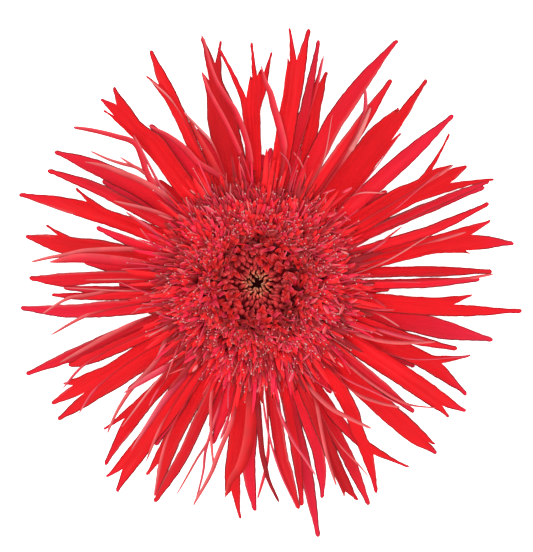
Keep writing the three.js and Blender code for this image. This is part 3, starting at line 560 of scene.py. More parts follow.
PETAL = grown("petal", 0.55, 0.08, 0.04, 0.5)
FLORET = grown("floret", 0.5, 0.08, 0.12, 0.3)
BUD = grown("bud", 0.5, 0.1, 0.15, 0.3, specular=0.0)
LEAF = grown("leaf", 0.65, 0.18, 0.15, 0.6, specular=0.2)


# Blades of the rays

TAPER = 1.7
EASE_TO_SIDE = 8
BLUNT_SHARE = 0.27
BLUNT_RANGE = (0.42, 0.62)
CAP = 0.9
CAP_TURNS = (20, 42, 60, 75, 85)
RAGGED = 0.07
ROW_STEP = 1.0
RIM_BAND = 0.22
WIDEST_BAND = 0.16
INNER_BAND = 1.5


class Outline:
    """The outline of a ray: the directions of each lobe's two edges at any distance from the axis."""

    def __init__(self, ray):
        self.ray, self.tips, self.forks = ray, ray.tips, ray.forks
        self.last = len(ray.tips) - 1
        self.path = [(ray.root, ROOT_RADIUS), (ray.body, SHOULDER_RADIUS)]
        if self.last == 0:
            self.path.append(ray.tips[0])
        self.shoulder = min(SHOULDER_RADIUS, ray.tips[0][1] * 0.75, *(radius - 1 for _, radius in ray.forks))
        self.reach = max(radius for _, radius in ray.tips)

    def middle(self, radius):
        directions, radii = zip(*self.path)
        return np.interp(radius, radii, directions)

    def body_edge(self, radius, side):
        wide = ramp(radius, RING_OUTSIDE, FULL_WIDTH_RADIUS, CLAW_WIDTH, self.ray.wide)
        return self.middle(radius) + side * math.degrees(wide / 2 / radius)

    def lobe_start(self, lobe, side):
        """Where the edges of a lobe start: at the blade's shoulder or at a fork."""
        number = lobe - 1 if side < 0 else lobe
        if 0 <= number < len(self.forks):
            return self.forks[number]
        if self.ray.sides:
            return self.ray.sides[0 if side < 0 else 1]
        return self.body_edge(self.shoulder, side), self.shoulder

    def span(self, lobe):
        return self.lobe_start(lobe, 1)[0] - self.lobe_start(lobe, -1)[0]

    def edge(self, lobe, side, radius):
        start_direction, start_radius = self.lobe_start(lobe, side)
        if radius < start_radius and lobe == (0 if side < 0 else self.last):
            shift = start_direction - self.body_edge(start_radius, side)
            shift *= smooth(radius, start_radius - EASE_TO_SIDE, start_radius)
            return self.body_edge(radius, side) + shift
        if radius < start_radius:
            return self.seam(lobe if side < 0 else lobe + 1, radius)
        tip_direction, tip_radius = self.tips[lobe]
        along = clamp((radius - start_radius) / (tip_radius - start_radius))
        bulge = self.ray.full * (along - along ** TAPER) / 2
        return mix(start_direction, tip_direction, along) + side * self.span(lobe) * bulge

    def seam(self, number, radius):
        """The line inside the body that leads to a fork."""
        fork_direction, fork_radius = self.forks[number - 1]
        low = self.edge(0, -1, fork_radius)
        share = (fork_direction - low) / (self.edge(self.last, 1, fork_radius) - low)
        along = clamp((radius - BLADE_ROOT_RADIUS) / (fork_radius - BLADE_ROOT_RADIUS))
        part = mix(number / len(self.tips), share, along)
        return mix(self.edge(0, -1, radius), self.edge(self.last, 1, radius), part)

    def blunt(self, lobe):
        """Half the width of a lobe's round end."""
        wide = math.radians(self.span(lobe)) * self.lobe_start(lobe, 1)[1]
        return clamp(BLUNT_SHARE * wide, *BLUNT_RANGE)


class Blade:
    """A ray's points in rows, split at each fork: radius, direction, place across its lobe, how far
    along the lobe's free end, the lobe's number and whether it is on the lobe's rim."""

    def __init__(self, outline, cells, draw):
        self.outline, self.cells, self.draw = outline, cells, draw
        self.table, self.quads, self.tris = [], [], []
        self.grow(0, outline.last, self.row(0, outline.last, BLADE_ROOT_RADIUS, None), BLADE_ROOT_RADIUS)

    def row(self, first, last, radius, free_from):
        """A row of points over some lobes, which narrow to their round ends from free_from on."""
        line = []
        for lobe in range(first, last + 1):
            low, high = self.outline.edge(lobe, -1, radius), self.outline.edge(lobe, 1, radius)
            free = 0.0
            if free_from is not None:
                tip = self.outline.tips[lobe][1]
                free = clamp((radius - free_from) / (tip - free_from))
                half = max(math.radians(high - low) / 2 * radius, 0)
                into_cap = clamp((radius - tip + CAP) / CAP)
                round_end = self.outline.blunt(lobe) * free
                half = (half ** 3 + round_end ** 3) ** (1 / 3) * math.sqrt(1 - into_cap ** 2)
                middle, half = (low + high) / 2, math.degrees(half / radius)
                low, high = middle - half, middle + half
            ragged = math.degrees(RAGGED / radius)
            low += self.draw.uniform(-ragged, ragged) * (lobe == first)
            high += self.draw.uniform(-ragged, ragged) * (lobe == last)
            band = WIDEST_BAND
            if high > low:
                band = min(math.degrees(RIM_BAND / radius) / (high - low), band)
            inner = INNER_BAND * band
            shares = [0, band, *np.linspace(inner, 1 - inner, self.cells - 3), 1 - band, 1]
            for cell, share in enumerate(shares):
                if cell > 0 or lobe == first:
                    rim = cell < 2 or cell > self.cells - 2
                    line.append(len(self.table))
                    self.table.append((radius, mix(low, high, share), 2 * share - 1, free, lobe, rim))
        return line

    def join(self, near, far):
        self.quads += [(near[i - 1], far[i - 1], far[i], near[i]) for i in range(1, len(near))]

    def strip(self, first, last, near, start, end, free_from=None):
        count = max(1, round((end - start) / ROW_STEP))
        for i in range(1, count + 1):
            far = self.row(first, last, mix(start, end, i / count), free_from)
            self.join(near, far)
            near = far
        return near

    def grow(self, first, last, near, start):
        """Rows of quads on from a row to the nearest fork and past it, or to the one lobe's tip."""
        if first < last:
            forks = [radius for _, radius in self.outline.forks[first:last]]
            nearest = min(forks)
            split = first + forks.index(nearest)
            far = self.strip(first, last, near, start, nearest)
            cut = (split - first + 1) * self.cells
            self.grow(first, split, far[:cut + 1], nearest)
            self.grow(split + 1, last, far[cut:], nearest)
            return
        tip_direction, tip_radius = self.outline.tips[first]
        near = self.strip(first, first, near, start, tip_radius - CAP, start)
        for turn in CAP_TURNS:
            far = self.row(first, first, tip_radius - CAP + CAP * math.sin(math.radians(turn)), start)
            self.join(near, far)
            near = far
        tip = len(self.table)
        self.table.append((tip_radius, tip_direction, 0.0, 1.0, first, 1))
        self.tris += [(near[i - 1], tip, near[i]) for i in range(1, len(near))]


def span_share(radius):
    return (radius - RING_OUTSIDE) / (SPAN_RADIUS - RING_OUTSIDE)


def blade_height(row, bend, radius):
    u = np.maximum(span_share(radius), 0)
    return row.ring + row.slope * u - bend * u * u


def blade_bend(row, reach, spread):
    u = span_share(reach)
    if row is ROWS["lower"] and reach >= RESTING_REACH:
        return (row.ring + row.slope * u - BLADE_DEPTH / 2) / (u * u)
    return min(row.bend + row.spread * spread, (row.ring + row.slope * u - LOWEST_HANGING_TIP) / (u * u))


# Cells across a lobe, for rays with one lobe, with two and with more
CELLS = (14, 12, 10)
WIDEST_PLACE = 1.3
LEAF_DEPTH = 0.4
THINNER_RIM = 0.6
THINNER_TIP = 0.4
FLOOR_GAP = 0.05
CURL_RANGE = (-0.4, 1.6)
ROLL = 0.5
RIDGE = 0.16
RIPPLE = 0.1
RIPPLE_PITCH = 2.3
ROLLED_EDGE = 0.5
ROLLED_PINK = 0.45
SHADED_CHANCE = 0.2
RAY_DEPTH = np.array([1.03, 0.74, 0.82])
RAY_LIGHT = (0.94, 1.04)
TIP_CRIMSON = (0.1, 0.9)
RIM_SHADE = 0.68

# Painted light, lighter towards the pompon against the shade that falls there: from one distance to
# another, and by how much
FOOT_PAINTED_LIGHT = (50, 28, 1, np.array([1.2, 1.1, 1.12]))
ROOT_PAINTED_LIGHT = (33, 24, 0, 0.32)


def ray_tones(draw, count):
    """The colours of a ray's lobes, and those of their tips."""
    base = SCARLET if draw.random() < 1 - SHADED_CHANCE else mix(SCARLET, SHADED_SCARLET, draw.random())
    tones = base * RAY_DEPTH * draw.uniform(*RAY_LIGHT, (count, 1))
    return tones, mix(SCARLET, CRIMSON, draw.uniform(*TIP_CRIMSON, (count, 1)))


def add_ray(heap, row, ray, solid_draw, draw):
    """One ray with its arch, a low ridge along each lobe, and its lobes curled and rolled a little."""
    outline = Outline(ray)
    bend = blade_bend(row, outline.reach, solid_draw() * 2 - 1)
    twist = TWIST_SPREAD * (solid_draw() * 2 - 1)
    blade = Blade(outline, CELLS[min(outline.last, 2)], draw)
    radius, direction, across, free, lobe, rim = np.array(blade.table, float).T
    lobe = lobe.astype(int)
    aside = np.radians(direction - outline.middle(radius)) * radius
    place = clamp(aside / (ray.wide / 2), -WIDEST_PLACE, WIDEST_PLACE)
    body = smooth(radius, RING_OUTSIDE, FULL_WIDTH_RADIUS)
    faded = body * (1 - smooth(radius, outline.shoulder, outline.reach))
    height = blade_height(row, bend, radius) + faded * (twist * aside - ARCH * place ** 2)
    count = len(ray.tips)
    curl = draw.uniform(*CURL_RANGE, count)[lobe]
    roll = draw.uniform(-ROLL, ROLL, count)[lobe]
    rolled_side = draw.choice([-1, 0, 0, 1], count)[lobe]
    rolled = smooth(rolled_side * across, 0.5, 1.0) * smooth(free, 0.0, 0.25)
    height += body * RIDGE * (1 - across ** 2) + ROLLED_EDGE * rolled
    height += curl * free ** 2 + roll * across * free * (1.2 - free)
    height += RIPPLE * body * across ** 2 * np.sin(radius / RIPPLE_PITCH + draw.uniform(0, 2 * math.pi))
    depth = LEAF_DEPTH * (1 - THINNER_RIM * across ** 2) * (1 - THINNER_TIP * free)
    height = np.maximum(height, depth / 2 + FLOOR_GAP)
    tone, tip_tone = ray_tones(draw, count)
    tones = mix(tone[lobe], tip_tone[lobe], (free ** 1.5)[:, None])
    tones = tones * ramp(radius[:, None], *FOOT_PAINTED_LIGHT)
    # Painted shade along the lobes' outer rims, full on the side that the blade tilts down to and less on the
    # side that tilts up
    inside = ((across < 0) & (lobe > 0)) | ((across > 0) & (lobe < outline.last))
    rim = rim * np.where(inside, smooth(free, 0, 0.15), 1) * (0.8 + 0.2 * np.sign(-twist * aside))
    tones = tones * (1 + ramp(radius, *ROOT_PAINTED_LIGHT) - RIM_SHADE * rim)[:, None]
    tones = mix(tones, PINK, ROLLED_PINK * rolled[:, None])
    grains = np.stack([aside, radius, 0 * radius + 10 * draw.random()], 1)
    heap.plate(polar(radius, direction, height + depth / 2), polar(radius, direction, height - depth / 2),
               blade.quads, blade.tris, tones, np.broadcast_to(REVERSE, tones.shape), grains)


RING_SIDES = 72


def ring(heap, height):
    """The ring on the receptacle that a row of florets is seated in."""
    low, high = height - RING_DEPTH / 2, height + RING_DEPTH / 2
    direction = np.arange(RING_SIDES)[:, None] * 360 / RING_SIDES
    points = polar(np.array([RING_OUTSIDE, RING_INSIDE, RING_INSIDE, RING_OUTSIDE]), direction,
                   np.array([low, low, high, high]))
    heap.add(points, DEEP_RED, 0.0, net(RING_SIDES, 4, RING_SIDES))


def ray_row(name):
    solid_draw = seeded(len(name) * 101)
    draw = np.random.default_rng(len(name) * 7)
    heap = Heap()
    ring(heap, ROWS[name].ring)
    for values in RAYS[name]:
        add_ray(heap, ROWS[name], Ray(*values), solid_draw, draw)
    heap.piece(f"rays_{name}", [f"ray_florets_{name}"], "rays", PETAL)


# Lobes of florets: narrow blades that rise from their foot and arch over outward

LOBE_PLACES = np.array([0, 0.28, 0.5, 0.68, 0.84, 0.95, 1])
KNEE_RANGE = (0.15, 0.45)
KNEE_RISE = 0.22
LOBE_CHANNEL = (-0.1, 0.45)
FOOT_RADII = (9, 13)
GRAIN_SPREAD = 10

# A kind of lobe: its outline, how far it may roll over in degrees, how far it may sway aside as a share
# of its reach, its thickness, how much of salmon its one rim may have, partly its pink reverse and partly
# a painted highlight, and how much of its colour its middle keeps under the painted shade of its fold
Kind = namedtuple("Kind", "form roll sway depth edge middle")
TOOTH = Kind(np.array([0.45, 0.8, 1.0, 1.0, 0.84, 0.5, 0.12]), 35, 0.15, 0.12, 0.8, 0.92)
LEAFLET = Kind(np.array([0.5, 0.9, 1.0, 0.9, 0.68, 0.38, 0.06]), 60, 0.4, 0.18, 0.95, 0.55)
STRAND = Kind(np.array([0.9, 1.0, 1.0, 0.95, 0.85, 0.7, 0.4]), 80, 0.5, 0.1, 0.0, 1.0)
STYLE = Kind(np.array([0.9, 1.0, 1.0, 0.95, 0.9, 0.8, 0.7]), 0, 0.12, 0.1, 0.0, 1.0)
CROWN_LOBE = TOOTH._replace(sway=0.08, roll=40, edge=0.45)
CROWN_STRAND = STRAND._replace(sway=0.3)
STYLE_HALF = 0.09
STYLE_PALE = 0.2
DOT_RADIUS = 0.21
DOT_SIZES = (0.8, 1.2)

# Colours that florets have, with their weights
BRIGHT = [(SCARLET, 6), (RED, 1.2), (CRIMSON, 1.8)]
DUSKY = [(DUSK, 5), (DEEP_RED, 1), (RED, 1)]
ROSY = [(CRIMSON, 3), (ROSE, 3), (SCARLET, 1.5), (PINK, 0.6)]
# Painted light and shade: lighter copies of the bright colours and darker ones of the dusky, with the young
# florets round the buds lit most
BRIGHT_LIGHT = 1.36
DUSKY_LIGHT = 0.84
YOUNG_LIGHT = 1.42
TONE_SPREAD = (0.93, 1.05)

# By how much florets are pinker than rays, on the dome and on its rim; on the rim they are also lighter,
# with painted light against the shade there
PINKNESS = np.array([1, 1.9, 1.3])
RIM_PINK_AND_LIGHT = np.array([1.09, 1.13, 1.08])

# Distances from the axis with the heights that the pompon's florets reach there, and with the dome's skin
CANOPY = [(5, 34.0), (7.8, 35.4), (11, 37.6), (15, 38.8), (20, 38.0), (25, 35.6), (30, 33.4), (36, 31.5)]
DOME_SKIN = [(PIT_RADIUS, 32.8), (12, 34.2), (15.5, 33.7), (DOME_RADIUS + 0.6, 32.2)]


def height_on(surface, radius):
    radii, heights = zip(*surface)
    return float(np.interp(radius, radii, heights))


def bow(foot, knee, tip, roll):
    """Points on a bow that leaves the foot towards the knee and comes to the tip from it, and the
    direction across it, which rolls over by roll degrees on the way."""
    t = LOBE_PLACES[:, None]
    line = (1 - t) ** 2 * foot + 2 * t * (1 - t) * knee + t * t * tip
    course = unit((1 - t) * (knee - foot) + t * (tip - knee))
    aside = unit(np.array([tip[1] - foot[1], foot[0] - tip[0], 0.0]))
    side = unit(aside - course * (course @ aside)[:, None])
    return line, rolled_over(side, course, roll * t)


def lobe_tones(base, body, tip, share):
    """Dark at the foot with painted shade, its own colour along it and paler by some share at the very tip.
    """
    return np.array([base, mix(base, body, 0.5), mix(base, body, 0.9), body, body,
                     mix(body, tip, 0.35 * share), mix(body, tip, share)])


def pick(draw, choices, pink_and_light=PINKNESS):
    """One of several colours by their weights, made pinker, and on the rim lighter with painted light, if it
    isn't rosy.
    """
    weights = np.array([weight for _, weight in choices], float)
    colour = choices[draw.choice(len(choices), p=weights / weights.sum())][0]
    return colour * draw.uniform(*TONE_SPREAD) * (pink_and_light if choices is not ROSY else 1)


def pick_for(draw, bright, pink_and_light):
    """A colour for a bright or a dusky floret, lit or darkened with painted light and shade."""
    if bright:
        return pick(draw, BRIGHT, pink_and_light) * BRIGHT_LIGHT
    return pick(draw, DUSKY, pink_and_light) * DUSKY_LIGHT


def lobe(heap, draw, kind, foot, azimuth, reach, top, half, body, pale=0.0):
    """A lobe from its foot to a tip at the height top, its distance reach away towards azimuth."""
    ahead = polar(1, azimuth, 0)
    tip = foot + ahead * reach
    tip[2] = top
    knee = foot + ahead * reach * draw.uniform(*KNEE_RANGE)
    knee += polar(1, azimuth + 90, 0) * reach * draw.uniform(-kind.sway, kind.sway)
    knee[2] = top + draw.uniform(0, KNEE_RISE) * reach
    line, side = bow(foot, knee, tip, draw.uniform(-kind.roll, kind.roll))
    # Painted shade at the foot, darker among the inner florets
    base = ramp(math.hypot(foot[0], foot[1]), *FOOT_RADII, SHADE_MAROON, DEEP_RED)
    tones = lobe_tones(base, body, PALE_PINK, pale)
    edge = mix(tones, SALMON, kind.edge * draw.random() ** 1.5)
    heap.strip(line, side, half * kind.form, kind.depth, half * draw.uniform(*LOBE_CHANNEL), tones,
               edge, mix(body, ROSE, 0.4), draw.random() * GRAIN_SPREAD, kind.middle)
    return tip


def style(heap, draw, foot, azimuth, reach, top):
    """A fine stalk with a pale round end."""
    end = lobe(heap, draw, STYLE, foot, azimuth, reach, top, STYLE_HALF, pick(draw, ROSY), STYLE_PALE)
    heap.bead(end, DOT_RADIUS * draw.uniform(*DOT_SIZES), mix(PINK, DOT_PINK, draw.random()))


# Disc florets on the dome

FOLD_SUNK = 0.3
FOLD_RISE = 0.2
FOLD_BOW = 1.0
FOLD_ROLL = 30
FOLD_DEPTH = 0.16
FOLD_CHANNELS = (-0.4, 0.4)
DOME_FOOT = RECEPTACLE_TOP + 0.4
DISC_FLORETS = 640
DISC_SPAN = (10.4, DOME_RADIUS - 0.2)
DISC_REACH = (1.6, 7.4)
DISC_SUNK = 0.9
BRIGHT_SHARE = 0.55
PALE_SHARE = 0.15
STRAND_SHARE = 0.45
STYLE_SHARE = 0.75
STYLE_RISE = 0.25
STRAND_HALF = (0.13, 0.24)

# What changes across the dome: from one place to another, and between two values. The first three go by
# the share of the way out over the dome, and the others by the distance from the axis.
TURN = (0.2, 0.9, 85, 24)
FAN = (0, 0.9, 60, 15)
HALF = (0, 0.6, 0.5, 0.42)
OUTER_PINK_AND_LIGHT = (11, 16, PINKNESS, RIM_PINK_AND_LIGHT)
# Painted shade on the florets nearest the middle of the dome
INNER_PAINTED_SHADE = (11, 13.5, 0.84, 1)
OUTER_DROOP = (15.5, 17.8, 1, 4.5)

# Young florets round the buds: broad cupped lobes over dark gaps. Each row has its distance from the
# axis, its number of florets and how far they may turn away from outward.
YOUNG_ROWS = [(5.9, 5, 180), (7.1, 11, 180), (8.3, 21, 120), (9.4, 30, 90), (10.7, 37, 60), (12.2, 38, 45)]
YOUNG_SUNK = 0.6
YOUNG_BRIGHT_SHARE = 0.75
YOUNG_FAN = (25, 60)
YOUNG_REACH = (1.6, 3.2)
YOUNG_HALF = (0.4, 0.85)
YOUNG_STRAND_SHARE = 0.3


def fold(heap, draw, wide, tone, foot, tip):
    foot = polar(foot[1], foot[0], height_on(CANOPY, foot[1]) - FOLD_SUNK)
    tip = polar(tip[1], tip[0], height_on(CANOPY, tip[1]) + FOLD_RISE)
    line, side = bow(foot, (foot + tip) / 2 + [0, 0, FOLD_BOW], tip, draw.uniform(-FOLD_ROLL, FOLD_ROLL))
    tones = lobe_tones(CRIMSON, TONES[tone], PALE_PINK, 0.5)
    half = wide / 2 * LEAFLET.form
    # Tones partly painted highlight, and a paler painted highlight on one rim
    heap.strip(line, side, half, FOLD_DEPTH, half * draw.choice(FOLD_CHANNELS), tones,
               mix(tones, PALE_PINK, 0.4), ROSE, draw.random() * GRAIN_SPREAD)


def disc_floret(heap, draw, radius, direction):
    """Three lobes that arch outward over the next florets, often with a slim curled one or a style."""
    out = (radius - PIT_RADIUS) / (DOME_RADIUS - PIT_RADIUS)
    reach = mix(*DISC_REACH, out ** 1.7) * draw.uniform(0.6, 1.3)
    foot = polar(radius, direction, height_on(DOME_SKIN, radius) - DISC_SUNK)
    azimuth = direction + draw.uniform(-1, 1) * ramp(out, *TURN)
    bright = draw.random() < BRIGHT_SHARE
    for number in (-1, 0, 1):
        length = reach * draw.uniform(0.8, 1.1)
        pale = draw.uniform(0.3, 0.8) if draw.random() < PALE_SHARE else 0.0
        turned = azimuth + number * ramp(out, *FAN) * draw.uniform(0.6, 1.3)
        top = height_on(CANOPY, radius + length) - draw.uniform(0, 1.0) * ramp(radius, *OUTER_DROOP)
        half = ramp(out, *HALF) * draw.uniform(0.8, 1.3)
        colour = pick_for(draw, bright, ramp(radius, *OUTER_PINK_AND_LIGHT)) * ramp(radius, *INNER_PAINTED_SHADE)
        lobe(heap, draw, TOOTH, foot, turned, length, top, half, colour, pale)
    if draw.random() < STRAND_SHARE:
        length = reach * draw.uniform(0.6, 1.1)
        turned = azimuth + draw.uniform(-1, 1) * mix(120, 25, out)
        lobe(heap, draw, STRAND, foot, turned, length,
             height_on(CANOPY, radius + length) + draw.uniform(-0.3, 0.5), draw.uniform(*STRAND_HALF),
             pick(draw, ROSY), draw.uniform(0, 0.8))
    if draw.random() < STYLE_SHARE:
        length = reach * draw.uniform(0.4, 0.95)
        style(heap, draw, foot, azimuth + draw.uniform(-12, 12), length,
              height_on(CANOPY, radius + length) + STYLE_RISE)


def young_floret(heap, draw, radius, direction, turn):
    """Three broad lobes that curl over each other, and sometimes a slim one."""
    foot = polar(radius, direction, height_on(DOME_SKIN, radius) - YOUNG_SUNK)
    top = height_on(CANOPY, radius)
    azimuth = direction + draw.uniform(-turn, turn)
    colours, light = (BRIGHT, YOUNG_LIGHT) if draw.random() < YOUNG_BRIGHT_SHARE else (DUSKY, 1)
    for aside in (-1, 0, 1):
        lobe(heap, draw, LEAFLET, foot, azimuth + aside * draw.uniform(*YOUNG_FAN),
             draw.uniform(*YOUNG_REACH), top + draw.uniform(-1.2, 0.4), draw.uniform(*YOUNG_HALF),
             pick(draw, colours) * light, draw.uniform(0, 0.7))
    if draw.random() < YOUNG_STRAND_SHARE:
        lobe(heap, draw, STRAND, foot, azimuth + draw.uniform(-60, 60), draw.uniform(1.5, 2.6),
             top + draw.uniform(0, 0.6), draw.uniform(0.15, 0.25), pick(draw, ROSY), 0.5)


def evenly(inside, outside, share):
    """The distance from the axis within which a share of a round zone's area lies."""
    return math.sqrt(mix(inside ** 2, outside ** 2, share))


def disc_florets():
    draw = np.random.default_rng(11)
    heap = Heap()
    profile = [(0, DOME_FOOT), (DOME_STEM_RADIUS, DOME_FOOT), (DOME_STEM_RADIUS, 28.8), (DOME_RADIUS, 31.2),
               *DOME_SKIN[::-1], (PIT_RADIUS, PIT_FLOOR), (0, PIT_FLOOR)]
    # The dome's skin, dark red with painted shade on its top and in the pit
    heap.turned(profile, 96, [DEEP_RED] * 5 + [SHADE_MAROON] * 5)
    for i in range(DISC_FLORETS):
        radius = evenly(*DISC_SPAN, (i + 0.5) / DISC_FLORETS)
        disc_floret(heap, draw, radius, i * GOLDEN_ANGLE + draw.uniform(-1.5, 1.5))
    for row, (radius, count, turn) in enumerate(YOUNG_ROWS):
        for i in range(count):
            young_floret(heap, draw, radius + draw.uniform(-0.4, 0.4),
                         (i + 0.5 * row + draw.uniform(-0.3, 0.3)) * 360 / count, turn)
    for values in FOLDS:
        fold(heap, draw, *values)
    heap.piece("disc_floret_heads", ["disc_florets"], "disc", FLORET)


# Trans florets: the straps that lie over the rays and the short ones that stand round the dome

STRAP_FOOT = 14
STRAP_STEPS = 14
STRAP_BEND = 0.5
STRAP_SWAY = 0.4
STRAP_LIFT = 0.3
STRAP_ROLL = 25
STRAP_DEPTH = 0.22
STRAP_CHANNELS = (-0.35, 0.3)
PALE_TONES = {"salmon", "pink", "pale"}

# How pale the tip and, as a painted highlight, the one rim of a strap are, after its tone, and the painted
# shade on its other rim
STRAP_EDGES = {"crimson": (0.15, 0.3), "scarlet": (0.075, 0.15), "dark": (0, 0)}
OTHER_STRAP_EDGES = (0.25, 0.45)
STRAP_SHADE = np.array([0.62, 0.2, 0.26])
HIDDEN_SHARE = 0.55
WIDE_STRAP = 1.55
TAPER_FROM = 0.3
LAST_SHARES = (0.95, 0.8, 0.4)

# The short florets: how many there are in a row and how far out they reach, and a skirt under them
CROWN_ROWS = [(84, (21, 25.5)), (84, (23, 28)), (48, (26, 32.5))]
CROWN_FOOT_RADIUS = 12.4
CROWN_BRIGHT_SHARE = 0.8
CROWN_STRAND_SHARE = 0.7
SLIM_HALF = (0.25, 0.45)
BROAD_HALF = (0.4, 0.75)
SKIRT = 66
SKIRT_RADII = (25, 28.5)
SKIRT_HEIGHT = 28.6


def through(points, count):
    """Points along a smooth curve through the given ones, as many on each stretch."""
    points = np.asarray(points, float)
    chords = unit(np.diff(points, axis=0))
    courses = unit(np.vstack([chords[:1], chords[:-1] + chords[1:], chords[-1:]]))
    place = np.linspace(0, len(points) - 1, count)
    number = np.minimum(place.astype(int), len(points) - 2)
    t = (place - number)[:, None]
    near, far = points[number], points[number + 1]
    span = np.linalg.norm(far - near, axis=1, keepdims=True)
    bow_out = courses[number] * t * (1 - t) ** 2 - courses[number + 1] * t * t * (1 - t)
    return mix(near, far, t * t * (3 - 2 * t)) + span * bow_out


def strap(heap, draw, wide, tone, path):
    """A long narrow floret, folded along its middle, and narrower and red up to the stretch that shows."""
    stations = [polar(radius, direction, 0) for direction, radius in [(path[0][0], STRAP_FOOT), *path]]
    line = through(stations, STRAP_STEPS * (len(stations) - 1) + 1)
    row = ROWS["trans"]
    bend = row.bend + row.spread * draw.uniform(-STRAP_BEND, STRAP_BEND)
    number = np.arange(len(line))
    shown = clamp((number - STRAP_STEPS) / (len(line) - STRAP_STEPS - 1))
    lifted = smooth(number, STRAP_STEPS - 3, STRAP_STEPS + 3)
    line[:, 2] = blade_height(row, bend, np.hypot(line[:, 0], line[:, 1]))
    line[:, 2] += STRAP_SWAY * shown * draw.uniform(-1, 1) + STRAP_LIFT * lifted
    taper = clamp((shown - TAPER_FROM) / (1 - TAPER_FROM)) ** 2 * (0.85 if wide > WIDE_STRAP else 0.5)
    half = wide / 2 * mix(HIDDEN_SHARE, 1, lifted) * (1 - taper) * (0.9 if tone in PALE_TONES else 1)
    half[-len(LAST_SHARES):] *= LAST_SHARES
    course = unit(np.gradient(line, axis=0))
    side = unit(np.cross(course, [0, 0, 1]))
    side = rolled_over(side, course, draw.uniform(-STRAP_ROLL, STRAP_ROLL) * shown[:, None])
    tip_pink, pale_rim_highlight = STRAP_EDGES.get(tone, OTHER_STRAP_EDGES)
    tones = mix(RED, TONES[tone] * draw.uniform(0.95, 1.05), lifted[:, None])
    tones = mix(tones, PALE_PINK, tip_pink * (shown ** 3)[:, None])
    heap.strip(line, side, half, STRAP_DEPTH, half * draw.choice(STRAP_CHANNELS), tones,
               mix(tones, PALE, pale_rim_highlight * lifted[:, None]), ROSE, draw.random() * GRAIN_SPREAD, 0.95,
               STRAP_SHADE)


def crown_floret(heap, draw, direction, tip_radius):
    """A short floret of the pompon's rim: a broad lobe with a narrower one beside it, and often a slim
    strand or a style."""
    row = ROWS["crown"]
    top = blade_height(row, row.bend, tip_radius)
    foot = polar(CROWN_FOOT_RADIUS, direction, row.ring)
    reach = tip_radius - CROWN_FOOT_RADIUS
    bright = draw.random() < CROWN_BRIGHT_SHARE
    for number, half in ((-1, draw.uniform(*SLIM_HALF)), (1, draw.uniform(*BROAD_HALF))):
        lobe(heap, draw, CROWN_LOBE, foot, direction + number * draw.uniform(0, 6),
             reach * draw.uniform(0.85, 1.06), top + draw.uniform(-0.8, 0.6), half,
             pick_for(draw, bright, RIM_PINK_AND_LIGHT))
    if draw.random() < CROWN_STRAND_SHARE:
        lobe(heap, draw, CROWN_STRAND, foot, direction + draw.uniform(-15, 15),
             reach * draw.uniform(0.8, 1.1), top + draw.uniform(0, 1.2), draw.uniform(0.14, 0.26),
             pick(draw, ROSY), draw.uniform(0, 0.8))
    for _ in range(draw.integers(0, 3)):
        style(heap, draw, foot, direction + draw.uniform(-8, 8), reach * draw.uniform(0.65, 1.05), top + 0.8)


def trans_florets():
    draw = np.random.default_rng(5)
    heap = Heap()
    seat = ROWS["trans"].ring
    ring(heap, seat)
    for wide, tone, *path in STRAPS:
        strap(heap, draw, wide, tone, path)
    for i in range(SKIRT):
        direction = i * 360 / SKIRT + draw.uniform(-1.5, 1.5)
        reach = draw.uniform(*SKIRT_RADII) - CROWN_FOOT_RADIUS
        lobe(heap, draw, CROWN_LOBE, polar(CROWN_FOOT_RADIUS, direction, seat), direction, reach,
             SKIRT_HEIGHT + draw.uniform(-0.3, 0.5), draw.uniform(0.8, 1.2),
             pick(draw, BRIGHT if i % 3 else DUSKY))
    for number, (count, reach) in enumerate(CROWN_ROWS):
        for i in range(count):
            direction = (i + draw.uniform(-0.35, 0.35) + number / 3) * 360 / count
            crown_floret(heap, draw, direction, draw.uniform(*reach))
    heap.piece("trans_floret_strands", ["trans_florets"], "trans", FLORET)


# Buds, set on one spiral from the eye outward. BUD_FORM is their outline: how far along and how wide.

BUD_FORM = [(0.0, 0.7), (0.25, 0.95), (0.48, 1.0), (0.72, 0.7), (0.9, 0.3), (1.0, 0.03)]
BUD_FLOOR = PIT_FLOOR + 0.3
POINTED_BUDS = 52
POINTED_SPAN = (1.7, 4.2)
POINTED_HEIGHTS = (31.0, 31.3)
ROUND_BUDS = 126
ROUND_SPAN = (4.2, 8.8)
ROUND_HEIGHTS = (31.4, 33.5)
ROUND_RADII = (0.46, 0.66)


def spiral(draw, first, count, span):
    """Places of buds on the spiral: how far out in the zone, distance from the axis and direction."""
    for i in range(count):
        share = (i + 0.5) / count
        yield (share, evenly(*span, share) + draw.uniform(-0.08, 0.08),
               (first + i) * GOLDEN_ANGLE + draw.uniform(-3, 3))


def bud(heap, foot, azimuth, lean, radius, length, tones, sides):
    """A closed floret: a slim egg that leans from upright towards azimuth."""
    course = polar(math.sin(math.radians(lean)), azimuth, math.cos(math.radians(lean)))
    side = polar(1, azimuth - 90, 0)
    angle = np.radians(np.arange(sides) * 360 / sides)[:, None]
    along, girth = np.array(BUD_FORM).T[:, :, None, None]
    around = np.cross(side, course) * np.sin(angle) - side * np.cos(angle)
    rings = foot + course * along * length + girth * radius * around
    heap.tube(rings, np.broadcast_to(np.array(tones)[:, None], rings.shape), rings)


